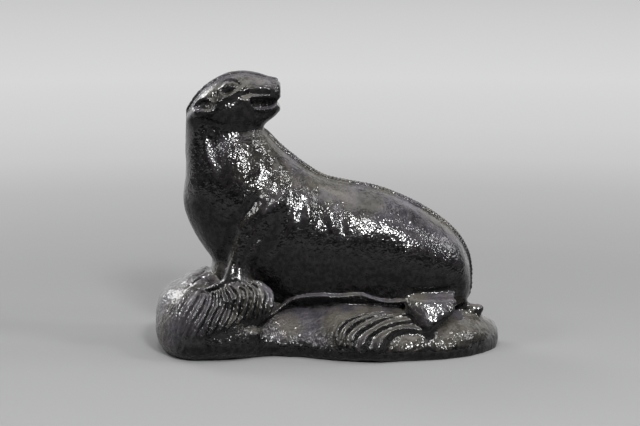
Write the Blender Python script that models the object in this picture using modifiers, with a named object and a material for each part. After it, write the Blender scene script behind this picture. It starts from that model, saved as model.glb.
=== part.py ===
"""A sea lion resting on a rock, cast in one piece, with its head turned back over its body.

The frame: +Z is up and the floor is z = 0. +X runs towards the rump. The near side is -Y, and y = 0 is
the plane of the mould's parting line, which shows as a thin raised seam along the neck, head and back.
Every length below is in millimetres, and MM turns it into Blender's metres.
"""

import bmesh
import bpy
import numpy as np
from mathutils import Matrix, Vector, noise
from mathutils.bvhtree import BVHTree

MM = 0.001

# The levels that the figure is built up from
ROCK_TOP = 14.0  # the rock's top under the belly
NECK_TOP = 64.0  # where the head sits on the neck
HEAD_X = -28.5  # the middle of the skull

# The rock, from the left end to the right: x, front y, back y, height, the height where it is widest,
# lowest z and squareness of its section. Wherever the lowest z is below the floor it is cut flat.
ROCK_STATIONS = [
    (-50.4, -3.5, 6.5, 12.2, 7.4, 6.0, 2.2),
    (-49.8, -8.5, 11.5, 15.0, 6.4, 3.6, 2.2),
    (-48.2, -12.8, 15.2, 17.5, 5.4, 0.7, 2.3),
    (-46.2, -15.8, 17.2, 18.9, 5.0, -1.4, 2.3),
    (-43.6, -19.0, 18.8, 19.9, 5.0, -2.4, 2.3),
    (-39.5, -22.2, 20.6, 21.4, 5.0, -2.5, 2.3),
    (-34.0, -22.8, 21.4, 21.8, 5.0, -2.2, 2.3),
    (-27.0, -21.4, 21.2, 20.8, 4.8, -2.2, 2.3),
    (-21.0, -17.4, 20.2, 18.0, 4.2, -2.6, 2.1),
    (-15.5, -15.0, 19.2, ROCK_TOP + 1.0, 3.4, -3.4, 1.9),
    (-8.0, -16.4, 19.4, ROCK_TOP + 0.6, 2.8, -3.4, 1.8),
    (-2.0, -18.8, 20.4, ROCK_TOP + 1.6, 2.6, -3.4, 1.75),
    (5.0, -22.2, 21.4, ROCK_TOP + 2.6, 2.6, -3.4, 1.75),
    (14.0, -23.4, 21.8, ROCK_TOP + 2.2, 2.6, -3.6, 1.75),
    (24.0, -21.4, 21.2, ROCK_TOP + 0.6, 2.4, -3.6, 1.8),
    (34.0, -18.0, 19.8, ROCK_TOP - 1.6, 2.0, -4.0, 1.9),
    (41.5, -13.6, 17.6, ROCK_TOP - 3.2, 2.0, -4.0, 2.0),
    (46.5, -7.8, 14.0, ROCK_TOP - 5.2, 2.2, -3.4, 2.1),
    (49.6, -2.4, 11.5, ROCK_TOP - 7.2, 2.4, -2.0, 2.2),
    (51.0, 1.4, 9.0, ROCK_TOP - 9.4, 2.8, 0.8, 2.2),
]
ROCK_LUMP = 0.7  # height of the broad lumps on the rock
ROCK_LUMP_PITCH = 6.0

# The trunk and neck, from the rump to the head: the section's back end x, z, its belly end x, z, and its
# half width. Heights are above ROCK_TOP.
TRUNK_STATIONS = [
    (42.3, 9.4, 42.3, 4.4, 3.2),
    (41.4, 14.2, 41.6, 1.0, 7.4),
    (38.4, 19.6, 39.3, -1.0, 11.4),
    (32.9, 24.7, 33.0, -2.0, 14.0),
    (25.2, 29.4, 24.6, -2.4, 15.3),
    (15.2, 33.5, 14.0, -2.6, 15.8),
    (5.6, 35.4, 3.0, -2.4, 15.6),
    (-1.0, 37.0, -9.0, -1.4, 15.4),
    (-6.4, 40.2, -20.4, 3.0, 15.2),
    (-10.5, 43.3, -31.3, 10.6, 14.6),
    (-13.9, 46.1, -38.3, 19.6, 13.4),
    (-16.5, 48.9, -42.1, 29.2, 12.0),
    (-18.1, 50.9, -41.3, 39.0, 10.2),
    (-19.3, 52.4, -41.2, 46.0, 8.2),
    (-20.0, 55.0, -41.0, 54.0, 7.2),
]

# The head, from the nape to the snout: x, top, bottom and half width. x is from HEAD_X, and heights are
# above NECK_TOP.
HEAD_STATIONS = [
    (-12.4, 5.6, 3.0, 3.6),
    (-11.0, 8.2, 2.4, 6.4),
    (-8.3, 11.9, 2.0, 8.6),
    (-4.5, 14.8, 0.9, 9.6),
    (0.0, 16.9, -0.3, 9.7),
    (4.4, 17.4, -0.3, 8.8),
    (8.2, 16.8, 1.2, 7.2),
    (11.3, 16.0, 3.4, 5.8),
    (13.6, 15.7, 5.2, 5.0),
    (15.0, 15.0, 6.8, 4.0),
]

# The seam: a thin raised line round the outline, where the mould's halves met
SEAM_RADIUS = 0.8
SEAM_PROUD = 0.25  # how far the seam's centre stands above the skin

# Limbs: x, y, z and radius along each one. The far ones mirror the near ones unless they are given.
NEAR_ARM = [
    (-8.0, -3.4, 46.5, 7.4),
    (-14.6, -7.6, 43.5, 7.4),
    (-19.4, -9.6, 37.5, 6.0),
    (-23.0, -10.6, 31.0, 4.7),
    (-25.2, -11.4, 26.4, 3.7),
    (-25.8, -12.4, 21.8, 4.8),
]
FAR_ARM = NEAR_ARM[:3] + [
    (-23.6, -10.0, 31.0, 4.7),
    (-26.8, -7.4, 26.6, 4.8),
    (-30.0, -5.0, 22.8, 4.4),
]
TAIL = [
    (38.5, 0.0, 12.6, 2.4),
    (42.4, 0.0, 11.6, 1.9),
    (45.2, 0.0, 11.4, 1.9),
    (46.2, 0.0, 10.9, 1.4),
]

# The heel, a flat plate that comes down from under the rump: x, y, z, half width along x and along y
HEEL = [
    (29.8, -12.4, 17.5, 8.1, 2.5),
    (30.1, -14.0, 15.2, 7.6, 2.3),
    (30.4, -15.2, 13.0, 6.5, 2.1),
    (29.9, -16.2, 11.1, 4.7, 1.9),
    (29.5, -17.0, 9.3, 2.9, 1.6),
    (29.3, -17.6, 7.2, 1.3, 1.1),
]

# The instep: a small swelling that joins the heel to its flipper
INSTEP_CENTRE = (24.8, -13.0, 12.6)
FAR_INSTEP_CENTRE = (24.8, 13.0, 12.6)
INSTEP_RADII = (3.2, 2.2, 2.8)

# The hem: a raised edge where the belly's skin meets the rock, as x, y of its outer edge, z and half
# thickness. Here z is from ROCK_TOP.
HEM = [
    (-20.2, -16.4, -3.9, 0.45),
    (-17.8, -14.6, -2.6, 0.55),
    (-15.2, -12.8, -1.1, 0.6),
    (-12.1, -11.4, 1.1, 0.6),
    (-9.1, -12.2, 2.8, 0.6),
    (-5.3, -13.4, 3.7, 0.6),
    (-0.7, -14.0, 4.0, 0.6),
    (3.8, -14.3, 3.8, 0.6),
    (7.4, -14.5, 4.2, 0.65),
    (10.2, -14.4, 4.2, 0.6),
    (13.4, -14.0, 3.1, 0.55),
    (17.4, -13.8, 2.2, 0.5),
    (21.6, -14.2, 2.4, 0.45),
    (24.6, -14.4, 2.8, 0.4),
]
HEM_REACH = 2.2  # half of its depth from the outer edge inward

# The brisket, where the breast comes down on the rock between the arms
BRISKET_CENTRE = (-29.0, 0.0, 23.6)
BRISKET_RADII = (5.4, 10.0, 5.2)

# The palm: a low mound on the rock that carries the near fore flipper
PALM_CENTRE = (-27.0, -13.2, 15.4)
PALM_RADII = (11.4, 5.8, 7.4)

# A small lump on the rock under that flipper
STONE_CENTRE = (-22.4, -16.6, 7.4)
STONE_RADII = (3.2, 2.0, 1.8)

# The flippers are pleated sheets laid on the forms, with one pleat for each ray. Each row below is a groove
# between two rays, or an edge of the sheet, as x, y, z from the root to the tips.
# The near fore flipper lies over the palm and bends sharply at the knuckles, the third point of each row.
FORE_RAYS = 12
FORE_GROOVES = [
    [(-34.8, -14.4, 20.0), (-37.8, -13.8, 19.0), (-40.4, -13.8, 17.7), (-43.0, -16.6, 13.4),
     (-44.2, -17.6, 9.4)],
    [(-33.6, -15.4, 20.0), (-34.8, -15.4, 19.4), (-35.8, -15.6, 18.5), (-38.2, -19.2, 13.7),
     (-41.2, -20.6, 7.4)],
    [(-31.8, -16.0, 20.6), (-32.0, -17.2, 18.9), (-32.5, -18.2, 16.7), (-34.0, -20.0, 12.9),
     (-37.4, -22.0, 7.2)],
    [(-30.0, -16.2, 21.4), (-29.2, -17.4, 19.6), (-28.4, -18.6, 17.2), (-30.0, -20.0, 12.8),
     (-32.8, -21.8, 8.2)],
    [(-27.2, -16.0, 22.4), (-25.7, -17.0, 20.8), (-24.1, -17.8, 19.0), (-25.2, -19.2, 14.0),
     (-27.6, -20.8, 10.6)],
    [(-24.0, -15.2, 22.8), (-22.1, -15.8, 21.4), (-20.3, -16.4, 19.4), (-20.9, -18.0, 15.0),
     (-21.8, -18.4, 12.2)],
    [(-21.4, -13.0, 22.7), (-18.9, -12.6, 21.4), (-16.6, -13.2, 18.6), (-16.4, -15.0, 15.4),
     (-17.2, -16.0, 12.6)],
]
FORE_DEPTH = 1.6  # from the grooves up to the rays

# The far fore flipper is spread over the top of the rock in a few broad folds.
FAR_FORE_RAYS = 6
FAR_FORE_GROOVES = [
    [(-29.5, -3.0, 22.4), (-32.0, -9.0, 21.0), (-35.4, -13.0, 19.4), (-40.8, -14.8, 16.8)],
    [(-31.6, 2.5, 23.0), (-35.0, -1.5, 22.2), (-38.2, -5.8, 21.2), (-43.6, -9.2, 18.4)],
    [(-31.6, 7.0, 23.0), (-36.0, 8.0, 22.0), (-40.0, 8.6, 21.0), (-45.8, 8.4, 17.6)],
    [(-30.5, 10.5, 22.4), (-35.0, 14.5, 20.6), (-39.5, 17.0, 17.6), (-43.0, 17.5, 12.0)],
]
FAR_FORE_DEPTH = 0.5
FAR_FORE_FOLD = 1.7  # height of the broad folds, one for every two rays

# Hind flippers, from the heel forward to the drooping tips. The far one mirrors the near one.
HIND_RAYS = 5
HIND_GROOVES = [
    [(18.0, -12.2, 14.4), (10.6, -14.8, 13.3), (6.2, -16.5, 12.1), (3.1, -18.4, 10.1), (2.1, -19.8, 7.6),
     (3.6, -21.2, 4.8)],
    [(22.4, -12.6, 13.4), (14.0, -16.2, 12.8), (10.2, -17.8, 11.5), (7.0, -19.7, 9.8), (5.4, -20.8, 7.6),
     (5.8, -21.8, 4.0)],
    [(26.0, -13.6, 11.8), (20.0, -16.4, 11.4), (16.4, -18.8, 10.5), (12.9, -20.9, 8.9), (10.3, -22.2, 6.6),
     (9.8, -23.0, 3.2)],
    [(29.1, -17.4, 7.5), (26.4, -18.2, 8.0), (23.0, -18.8, 8.5), (19.9, -20.2, 7.9), (17.6, -22.0, 6.0),
     (16.4, -23.0, 3.6)],
]
HIND_DEPTH = 1.7

# How each flipper changes from root to tips: share of its length, thickness at the grooves, and share of the
# pleats' full depth. The near fore flipper's grooves are shallow at the knuckles.
FORE_SECTION = [
    (0.0, 0.0, 0.2),
    (0.2, 0.2, 1.0),
    (0.36, 0.4, 0.8),
    (0.5, 0.9, 0.6),
    (0.62, 0.5, 1.0),
    (0.85, 0.8, 1.0),
    (1.0, 0.4, 0.8),
]
FAR_FORE_SECTION = [(0.0, 0.0, 0.3), (0.3, 0.4, 1.0), (0.7, 0.3, 0.8), (1.0, -0.6, 0.3)]
HIND_SECTION = [(0.0, 0.0, 0.2), (0.2, 0.2, 0.7), (0.5, 0.4, 1.0), (0.85, 0.7, 1.0), (1.0, 0.4, 0.8)]
FLIPPER_ROOT_DEPTH = 1.5  # how deep the sheet is sunk under the skin
GROOVE_SHORTER = 0.04  # how far the tips stand out past the grooves, as a share of the length
COLUMNS_IN_A_RAY = 8
STEPS_IN_A_RAY = 8

# Strokes of the modelling tool, on both sides of the head: the stroke's half width, how deep it is
# pressed in, and its path, as x, z pairs laid on the skin. A negative depth raises a fold. Here x is from
# HEAD_X and z from NECK_TOP.
HEAD_STROKES = {
    "upper_lid": (
        0.65, 0.75, [(-3.1, 14.0), (-2.3, 15.2), (-1.0, 16.0), (0.6, 16.2), (2.0, 15.8), (3.5, 14.7)],
    ),
    "lower_lid": (0.5, 0.5, [(-2.3, 13.2), (-1.0, 12.8), (0.3, 12.9), (1.6, 13.4), (2.8, 14.2)]),
    "eyeball": (1.4, -1.0, [(-0.1, 14.5), (0.3, 14.5)]),
    "eye_bag": (0.7, -0.3, [(-2.1, 12.0), (-0.7, 11.7), (0.9, 12.0), (2.5, 12.9)]),
    "cheek_fold": (0.9, -0.65, [(-3.3, 9.1), (-2.3, 10.0), (-1.0, 10.9), (0.5, 11.5), (2.0, 12.7),
        (3.4, 14.3)]),
    "cheek_hollow": (1.0, 0.25, [(-2.4, 8.0), (-0.9, 9.3), (0.9, 10.2), (2.4, 11.2)]),
    "lower_cheek": (0.9, -0.2, [(-2.4, 7.2), (-1.2, 8.2), (0.2, 9.0)]),
    "ear_flap": (1.3, -1.3, [(-10.4, 6.7), (-8.6, 6.9), (-6.2, 7.2), (-3.6, 8.0)]),
    "under_ear": (1.4, 0.8, [(-10.8, 4.2), (-8.0, 4.2), (-5.0, 3.6), (-2.0, 2.6)]),
    "muzzle_pad": (2.3, -1.0, [(8.5, 14.6), (11.4, 14.3)]),
    "muzzle_groove": (0.75, 0.65, [(4.0, 11.6), (5.2, 12.2), (6.6, 12.5), (8.4, 12.4), (10.6, 12.2),
        (13.0, 11.9)]),
    "muzzle_wrinkle_1": (0.5, -0.4, [(3.9, 13.6), (5.6, 14.8)]),
    "muzzle_wrinkle_2": (0.5, -0.35, [(4.6, 12.9), (6.2, 14.0)]),
    "mouth_corner": (0.9, -0.5, [(5.2, 11.4), (5.0, 10.4), (5.4, 9.2)]),
    "upper_lip": (0.45, -0.4, [(5.9, 11.5), (7.6, 11.7), (9.8, 11.6), (12.4, 11.3)]),
    "lower_lip": (
        0.5, -0.6, [(6.0, 10.9), (5.9, 10.0), (6.7, 8.8), (8.1, 7.8), (10.3, 7.6), (12.6, 8.1),
            (13.8, 8.9)],
    ),
    "chin_groove": (0.8, 0.4, [(7.5, 6.5), (10.5, 6.1), (12.7, 6.9)]),
}

# Pits have steeper walls than strokes.
HEAD_PITS = {
    "ear_hollow": (1.1, 1.5, [(-9.6, 8.6), (-8.6, 9.3), (-7.4, 9.6), (-6.2, 9.3), (-5.4, 8.6)]),
    "temple": (1.0, 0.8, [(-3.6, 13.0), (-4.2, 11.6), (-4.4, 10.2)]),
    "nostril": (0.5, 0.5, [(12.6, 15.0), (13.6, 14.6)]),
}

# Two deep slots beside a fold of the far fore flipper, seen from the near side, as x and z from ROCK_TOP
SLOTS = {
    "near_slot": (1.0, 2.0, [(-35.6, 5.3), (-33.6, 6.2), (-31.6, 7.2), (-30.2, 7.8)]),
    "far_slot": (1.0, 1.8, [(-40.8, 5.8), (-38.6, 6.7), (-36.6, 7.3), (-34.4, 7.9)]),
}
SLOT_LIFT = 0.9  # how far above the rock's skin the slots' paths lie

# The open mouth, pressed in and a little down from both sides: half width, depth, and x, z pairs as for the
# strokes
MOUTH = (1.05, 3.0, [(7.6, 9.9), (9.4, 9.8), (11.4, 9.8), (13.2, 9.9)])
MOUTH_STEEPNESS = 3.0
MOUTH_FALL = 0.45  # down for each millimetre in
# The mouth's gap round the front of the snout: half width, depth, and y, z pairs from NECK_TOP
MOUTH_GAP = (0.85, 1.1, [(-4.0, 9.4), (0.0, 9.2), (4.0, 9.4)])
MOUTH_BOX = ((-23.5, -12.0, 70.5),
    (-12.0, 12.0, 77.0))  # where the lips are smoothed, from corner to corner
SOFTEN_ROUNDS = 2

# On the trunk, x is from the frame's origin and z from ROCK_TOP.
TRUNK_STROKES = {
    "neck_valley": (3.2, 0.8, [(-19.8, 42.4), (-19.1, 39.2), (-19.7, 35.4), (-20.7, 32.2)]),
    "breast_fold": (
        1.9,
        0.9,
        [(-19.6, 34.2), (-20.6, 32.0), (-22.3, 29.4), (-24.3, 27.0), (-25.9, 24.6), (-27.2, 20.6),
         (-28.6, 16.6)],
    ),
    "breast_ridge": (
        1.3,
        -0.5,
        [(-17.8, 34.5), (-18.9, 32.3), (-20.9, 29.1), (-23.5, 26.0), (-25.2, 22.6), (-26.2, 19.0),
         (-27.2, 15.0)],
    ),
    "arm_ridge": (
        2.2,
        -0.6,
        [(-12.6, 34.8), (-12.8, 32.5), (-13.8, 29.1), (-14.6, 25.4), (-16.1, 22.2), (-18.8, 19.4),
         (-23.1, 14.5)],
    ),
    "arm_groove": (0.9, 0.5, [(-18.6, 22.2), (-20.9, 20.2), (-22.5, 17.7), (-23.4, 15.6)]),
    "behind_arm": (
        2.1, 0.7, [(-11.2, 35.5), (-11.2, 32.0), (-12.0, 28.0), (-13.0, 25.0), (-15.6, 20.4),
            (-18.4, 16.0)],
    ),
    "neck_line": (1.1, -0.3, [(-13.6, 43.3), (-14.5, 40.9), (-15.8, 37.0), (-17.0, 34.0)]),
    "neck_line_side": (1.2, 0.3, [(-14.9, 43.0), (-15.9, 40.0), (-17.2, 36.6)]),
    "flank_crease_1": (1.5, 0.4, [(-2.7, 34.6), (-2.3, 30.0), (-2.0, 25.5)]),
    "flank_fold_1": (1.5, -0.25, [(-0.7, 34.2), (-0.3, 30.0), (0.0, 27.0)]),
    "flank_crease_2": (1.6, 0.4, [(-7.2, 33.0), (-7.5, 29.0), (-7.8, 26.0)]),
    "flank_crease_3": (1.3, 0.4, [(-10.2, 37.2), (-10.8, 32.7)]),
    "flank_fold_4": (2.0, -0.4, [(-6.6, 36.0), (-5.8, 31.0), (-5.2, 24.0)]),
    "flank_fold_5": (1.3, -0.35, [(0.9, 32.6), (1.6, 28.0), (2.2, 22.0)]),
    "flank_crease_5": (1.4, 0.35, [(3.4, 32.0), (4.1, 27.0), (4.4, 22.0)]),
    "flank_fold_6": (1.6, -0.25, [(6.6, 30.6), (7.2, 26.0)]),
    "flank_fold_3": (1.3, -0.25, [(-8.9, 36.6), (-9.2, 32.4)]),
    "nape_fold": (1.5, -0.5, [(-36.2, 51.6), (-34.8, 47.1), (-33.7, 43.3), (-33.1, 40.5)]),
    "nape_crease": (1.3, 0.35, [(-34.6, 51.0), (-33.2, 47.0), (-32.2, 43.3), (-31.6, 40.5)]),
    "haunch_crease": (4.5, 0.5, [(14.6, 24.0), (16.4, 18.0), (17.0, 12.0), (16.8, 7.0)]),
    "wrist_groove_1": (0.6, 0.5, [(-23.2, 17.6), (-23.5, 15.6), (-23.8, 13.0)]),
    "wrist_groove_2": (0.6, 0.5, [(-26.2, 15.6), (-26.7, 13.0), (-27.0, 10.4)]),
    "over_heel": (1.4, 1.0, [(25.0, 4.8), (30.0, 5.0), (35.0, 5.4), (39.0, 6.4)]),
}

# How finely the casting is modelled
FORM_VOXEL = 1.0
DETAIL_VOXEL = 0.5
RING_SIDES = 40
STEPS_BETWEEN_STATIONS = 5
STEPS_IN_A_STROKE = 12
PIT_STEEPNESS = 1.9  # 1 is a stroke's own rounded section
TRIANGLES = 12500  # of which about 700 are cut off with what stands below the floor
SHARP_ANGLE = np.radians(60)


def smooth_rows(rows, steps=STEPS_BETWEEN_STATIONS):
    """Rows of numbers joined by a Catmull-Rom curve, with `steps` rows for each gap between them."""
    rows = np.array(rows, float)
    ends = np.vstack([2 * rows[0] - rows[1], rows, 2 * rows[-1] - rows[-2]])
    found = []
    for a, b, c, d in zip(ends, ends[1:], ends[2:], ends[3:]):
        for t in np.arange(steps) / steps:
            found.append(
                b
                + 0.5 * t * (c - a)
                + t * t * (a - 2.5 * b + 2 * c - 0.5 * d)
                + 0.5 * t**3 * (3 * b - a - 3 * c + d)
            )
    return np.array(found + [rows[-1]])


def new_object(name, mesh):
    thing = bpy.data.objects.new(name, mesh)
    bpy.context.scene.collection.objects.link(thing)
    return thing


def skin(name, rings):
    """A closed solid through rings of equally many points, given in millimetres."""
    form = bmesh.new()
    loops = [[form.verts.new(Vector(point) * MM) for point in ring] for ring in rings]
    for one, two in zip(loops, loops[1:]):
        for k in range(len(one)):
            after = (k + 1) % len(one)
            form.faces.new((one[k], one[after], two[after], two[k]))
    form.faces.new(loops[0])
    form.faces.new(loops[-1])
    bmesh.ops.recalc_face_normals(form, faces=form.faces)
    mesh = bpy.data.meshes.new(name)
    form.to_mesh(mesh)
    form.free()
    return new_object(name, mesh)


def rounded(turns, power):
    """Cosine and sine of each turn, squared off by `power`: 2 gives an oval and more gives a fuller one."""
    cosines = np.cos(turns)
    sines = np.sin(turns)
    return (
        np.sign(cosines) * np.abs(cosines) ** (2 / power),
        np.sign(sines) * np.abs(sines) ** (2 / power),
    )


def oval_ring(top, bottom, half_width, power):
    """Points round an oval that stands on `bottom` and reaches `top`, both x, z points on y = 0."""
    middle = (np.array(top) + np.array(bottom)) / 2
    half = (np.array(top) - np.array(bottom)) / 2
    along, across = rounded(np.linspace(0, 2 * np.pi, RING_SIDES, endpoint=False), power)
    points = middle + along[:, None] * half
    return [(x, half_width * y, z) for (x, z), y in zip(points, across)]


def make_trunk():
    rings = [
        oval_ring((bx, bz + ROCK_TOP), (px, pz + ROCK_TOP), half_width, 2.15)
        for bx, bz, px, pz, half_width in smooth_rows(TRUNK_STATIONS)
    ]
    return skin("trunk", rings)


def make_head():
    rings = [
        oval_ring((HEAD_X + x, NECK_TOP + top), (HEAD_X + x, NECK_TOP + bottom), half_width, 2.3)
        for x, top, bottom, half_width in smooth_rows(HEAD_STATIONS)
    ]
    return skin("head", rings)


def make_rock():
    """A loft of squared ovals along X, with lumps all over."""
    turns = np.linspace(0, 2 * np.pi, 2 * RING_SIDES, endpoint=False)
    rings = []
    for x, front, back, height, waist, lowest, power in smooth_rows(ROCK_STATIONS):
        ring = []
        for across, up in zip(*rounded(turns, power)):
            rise = height - waist if up > 0 else waist - lowest
            point = Vector((x, (front + back) / 2 + across * (back - front) / 2, waist + up * rise))
            lump = ROCK_LUMP * noise.noise(point / ROCK_LUMP_PITCH)
            ring.append(point + Vector((0, across, up)) * lump)
        rings.append(ring)
    return skin("rock", rings)


def make_heel(side):
    turns = np.linspace(0, 2 * np.pi, RING_SIDES, endpoint=False)
    rings = [
        [(x + along * np.cos(turn), side * (y + across * np.sin(turn)), z) for turn in turns]
        for x, y, z, along, across in smooth_rows(HEEL)
    ]
    return skin("heel", rings)


def make_hem(side):
    """A thin blade along the hem, rounded at its outer edge and sunk into the belly."""
    rows = smooth_rows(HEM)
    steps = np.gradient(rows[:, (0, 2)], axis=0)
    steps /= np.linalg.norm(steps, axis=1)[:, None]
    turns = np.linspace(0, 2 * np.pi, RING_SIDES, endpoint=False)
    rings = []
    for (x, y, z, half), (along, rise) in zip(rows, steps):
        across = half * np.sin(turns)
        inward = HEM_REACH * (1 - np.cos(turns))
        heights = ROCK_TOP + z + along * across
        rings.append(list(zip(x - rise * across, side * (y + inward), heights)))
    return skin("hem", rings)


def tube(name, points, radii):
    """A round tube through points in millimetres, with a radius at each one and closed ends."""
    path = bpy.data.curves.new(name, "CURVE")
    path.dimensions = "3D"
    path.bevel_depth = MM
    path.bevel_resolution = 3
    path.use_fill_caps = True
    line = path.splines.new("POLY")
    line.points.add(len(points) - 1)
    for place, point, radius in zip(line.points, points, radii):
        place.co = (*(Vector(point) * MM), 1)
        place.radius = radius
    wire = new_object(name, path)
    graph = bpy.context.evaluated_depsgraph_get()
    mesh = bpy.data.meshes.new_from_object(wire.evaluated_get(graph))
    bpy.data.objects.remove(wire)
    solid = bmesh.new()
    solid.from_mesh(mesh)
    bmesh.ops.remove_doubles(solid, verts=solid.verts, dist=0.001 * MM)
    bmesh.ops.recalc_face_normals(solid, faces=solid.faces)
    solid.to_mesh(mesh)
    solid.free()
    return new_object(name, mesh)


def limb(name, stations, side=1):
    """A limb through stations of x, y, z and radius. side is 1 as they are given, -1 for the mirror image."""
    rows = smooth_rows(stations)
    rows[:, 1] *= side
    return tube(name, rows[:, :3], rows[:, 3])


def ball(name, centre, radii):
    mesh = bpy.data.meshes.new(name)
    form = bmesh.new()
    bmesh.ops.create_uvsphere(form, u_segments=24, v_segments=16, radius=MM)
    form.transform(Matrix.Diagonal((*radii, 1)))
    bmesh.ops.translate(form, verts=form.verts, vec=Vector(centre) * MM)
    form.to_mesh(mesh)
    form.free()
    return new_object(name, mesh)


def applied(solid):
    """The object with its modifiers turned into plain mesh."""
    graph = bpy.context.evaluated_depsgraph_get()
    mesh = bpy.data.meshes.new_from_object(solid.evaluated_get(graph))
    solid.modifiers.clear()
    solid.data = mesh
    return solid


def fuse(name, pieces, voxel, rounds):
    """One solid from overlapping pieces: a voxel remesh joins them and smoothing rounds the joins."""
    whole = bmesh.new()
    for piece in pieces:
        whole.from_mesh(piece.data)
        bpy.data.objects.remove(piece)
    mesh = bpy.data.meshes.new(name)
    whole.to_mesh(mesh)
    whole.free()
    solid = new_object(name, mesh)
    remesh = solid.modifiers.new("one_solid", "REMESH")
    remesh.mode = "VOXEL"
    remesh.voxel_size = voxel * MM
    soften = solid.modifiers.new("soften", "SMOOTH")
    soften.factor = 0.5
    soften.iterations = rounds
    return applied(solid)


class Hide:
    """The skin of the fused forms, on which flippers, folds and lids are laid. Its points are in mm."""

    def __init__(self, solid):
        form = bmesh.new()
        form.from_mesh(solid.data)
        self.tree = BVHTree.FromBMesh(form)
        form.free()

    def lay(self, starts, direction):
        """Points and normals where lines from `starts` along `direction` first meet the skin."""
        points = []
        normals = []
        for start in starts:
            hit, normal, _, _ = self.tree.ray_cast(Vector(start) * MM, Vector(direction))
            if hit is not None:
                points.append(hit / MM)
                normals.append(normal)
        return np.array(points), np.array(normals)

    def from_side(self, pairs, side):
        """x, z pairs laid from the near side (1) or the far side (-1)."""
        return self.lay([(x, -side * 100, z) for x, z in pairs], (0, side, 0))

    def from_front(self, pairs):
        """y, z pairs laid from the front of the snout."""
        return self.lay([(100, y, z) for y, z in pairs], (-1, 0, 0))

    def nearest(self, places):
        """The skin's nearest point to each of `places`, and its normal there."""
        points = []
        normals = []
        for place in places:
            hit, normal, _, _ = self.tree.find_nearest(Vector(place) * MM)
            points.append(hit / MM)
            normals.append(normal)
        return np.array(points), np.array(normals)


def between(paths, count):
    """`count` paths spaced evenly across the given ones, each with as many points."""
    given = np.array(paths, float)
    shape = given.shape[1:]
    fine = smooth_rows(given.reshape(len(given), -1), 24)
    places = np.linspace(0, len(fine) - 1, count).round().astype(int)
    return [fine[place].reshape(shape) for place in places]


def flipper(hide, name, grooves, rays, section, depth, fold=0.0, side=1):
    """A pleated sheet laid on the nearest skin: its outer face, and an inner face sunk under the skin."""
    shares, thicknesses, growths = zip(*section)
    columns = between(grooves, COLUMNS_IN_A_RAY * rays + 1)
    outer = []
    inner = []
    for column, turn in zip(columns, np.linspace(0, rays, len(columns))):
        crest = np.sin(np.pi * turn) ** 2
        swell = np.sin(np.pi * turn / 2) ** 2
        places = smooth_rows(column, STEPS_IN_A_RAY) * (1, side, 1)
        points, normals = hide.nearest(places)
        along = np.linspace(0, 1 - GROOVE_SHORTER * (1 - crest), len(points))
        points = np.array([np.interp(along, np.linspace(0, 1, len(points)), axis) for axis in points.T]).T
        height = np.interp(along, shares, thicknesses)
        height += np.interp(along, shares, growths) * (depth * crest + fold * swell)
        outer.append(points + normals * height[:, None])
        inner.append(points - normals * FLIPPER_ROOT_DEPTH)
    rings = np.array(outer + inner[::-1]).transpose(1, 0, 2)
    return skin(name, rings)


def near_fore_flipper(hide):
    return flipper(hide, "near_fore_flipper", FORE_GROOVES, FORE_RAYS, FORE_SECTION, FORE_DEPTH)


def far_fore_flipper(hide):
    return flipper(
        hide,
        "far_fore_flipper",
        FAR_FORE_GROOVES,
        FAR_FORE_RAYS,
        FAR_FORE_SECTION,
        FAR_FORE_DEPTH,
        fold=FAR_FORE_FOLD,
    )


def hind_flipper(hide, side):
    return flipper(hide, "hind_flipper", HIND_GROOVES, HIND_RAYS, HIND_SECTION, HIND_DEPTH, side=side)


def ridge(name, path, girths):
    """A thin raised line through x, z points on y = 0, with its girth given at even steps along it."""
    along = np.linspace(0, 1, len(path))
    radii = SEAM_RADIUS * np.interp(along, np.linspace(0, 1, len(girths)), girths)
    return tube(name, [(x, 0.0, z) for x, z in path], radii)


def seam():
    """The parting line: up the rump and along the back to the throat, and up the nape and over the crown."""
    trunk = smooth_rows(TRUNK_STATIONS)
    head = smooth_rows(HEAD_STATIONS)
    rump = trunk[STEPS_BETWEEN_STATIONS::-1, 2:4]
    back = np.vstack([rump, trunk[: -2 * STEPS_BETWEEN_STATIONS, :2]]) + (0, ROCK_TOP + SEAM_PROUD)
    nape = trunk[-4 * STEPS_BETWEEN_STATIONS : -1, 2:4] + (SEAM_RADIUS - SEAM_PROUD, ROCK_TOP)
    crown = head[2:-3, :2] + (HEAD_X, NECK_TOP + SEAM_PROUD)
    return [
        ridge("seam_back", back, [0.5] + 10 * [1] + [0.6]),
        ridge("seam_crown", np.vstack([nape, crown]), [0.3, 0.7] + 6 * [1] + [0.8, 0.4]),
    ]


def corners(solid):
    """The solid's vertices, in millimetres."""
    found = np.empty(len(solid.data.vertices) * 3)
    solid.data.vertices.foreach_get("co", found)
    return found.reshape(-1, 3) / MM


def move_corners(solid, points):
    solid.data.vertices.foreach_set("co", (points * MM).ravel())
    solid.data.update()


def press(points, path, normals, half_width, depth, steepness=1.0):
    """One stroke pressed into the points near its path, or raised from the skin if its depth is negative."""
    inward = -normals - 0.5 * normals.mean(axis=0)
    inward /= np.linalg.norm(inward, axis=1)[:, None]
    run = np.concatenate([[0], np.cumsum(np.linalg.norm(np.diff(path, axis=0), axis=1))])
    to_end = np.minimum(run, run[-1] - run)
    ease = np.ones(len(run)) if run[-1] < half_width else np.minimum(1, to_end / (2.0 * half_width) + 0.2)
    reach = 1.6 * half_width
    low = path.min(axis=0) - reach
    high = path.max(axis=0) + reach
    near = np.flatnonzero(((points > low) & (points < high)).all(axis=1))
    gaps = np.linalg.norm(points[near, None] - path[None], axis=2)
    shape = steepness * np.clip(1 - (gaps / reach) ** 2, 0, None) ** 2
    pushes = ease * np.minimum(1, shape)
    strongest = pushes.argmax(axis=1)
    points[near] += depth * pushes.max(axis=1)[:, None] * inward[strongest]


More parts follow.
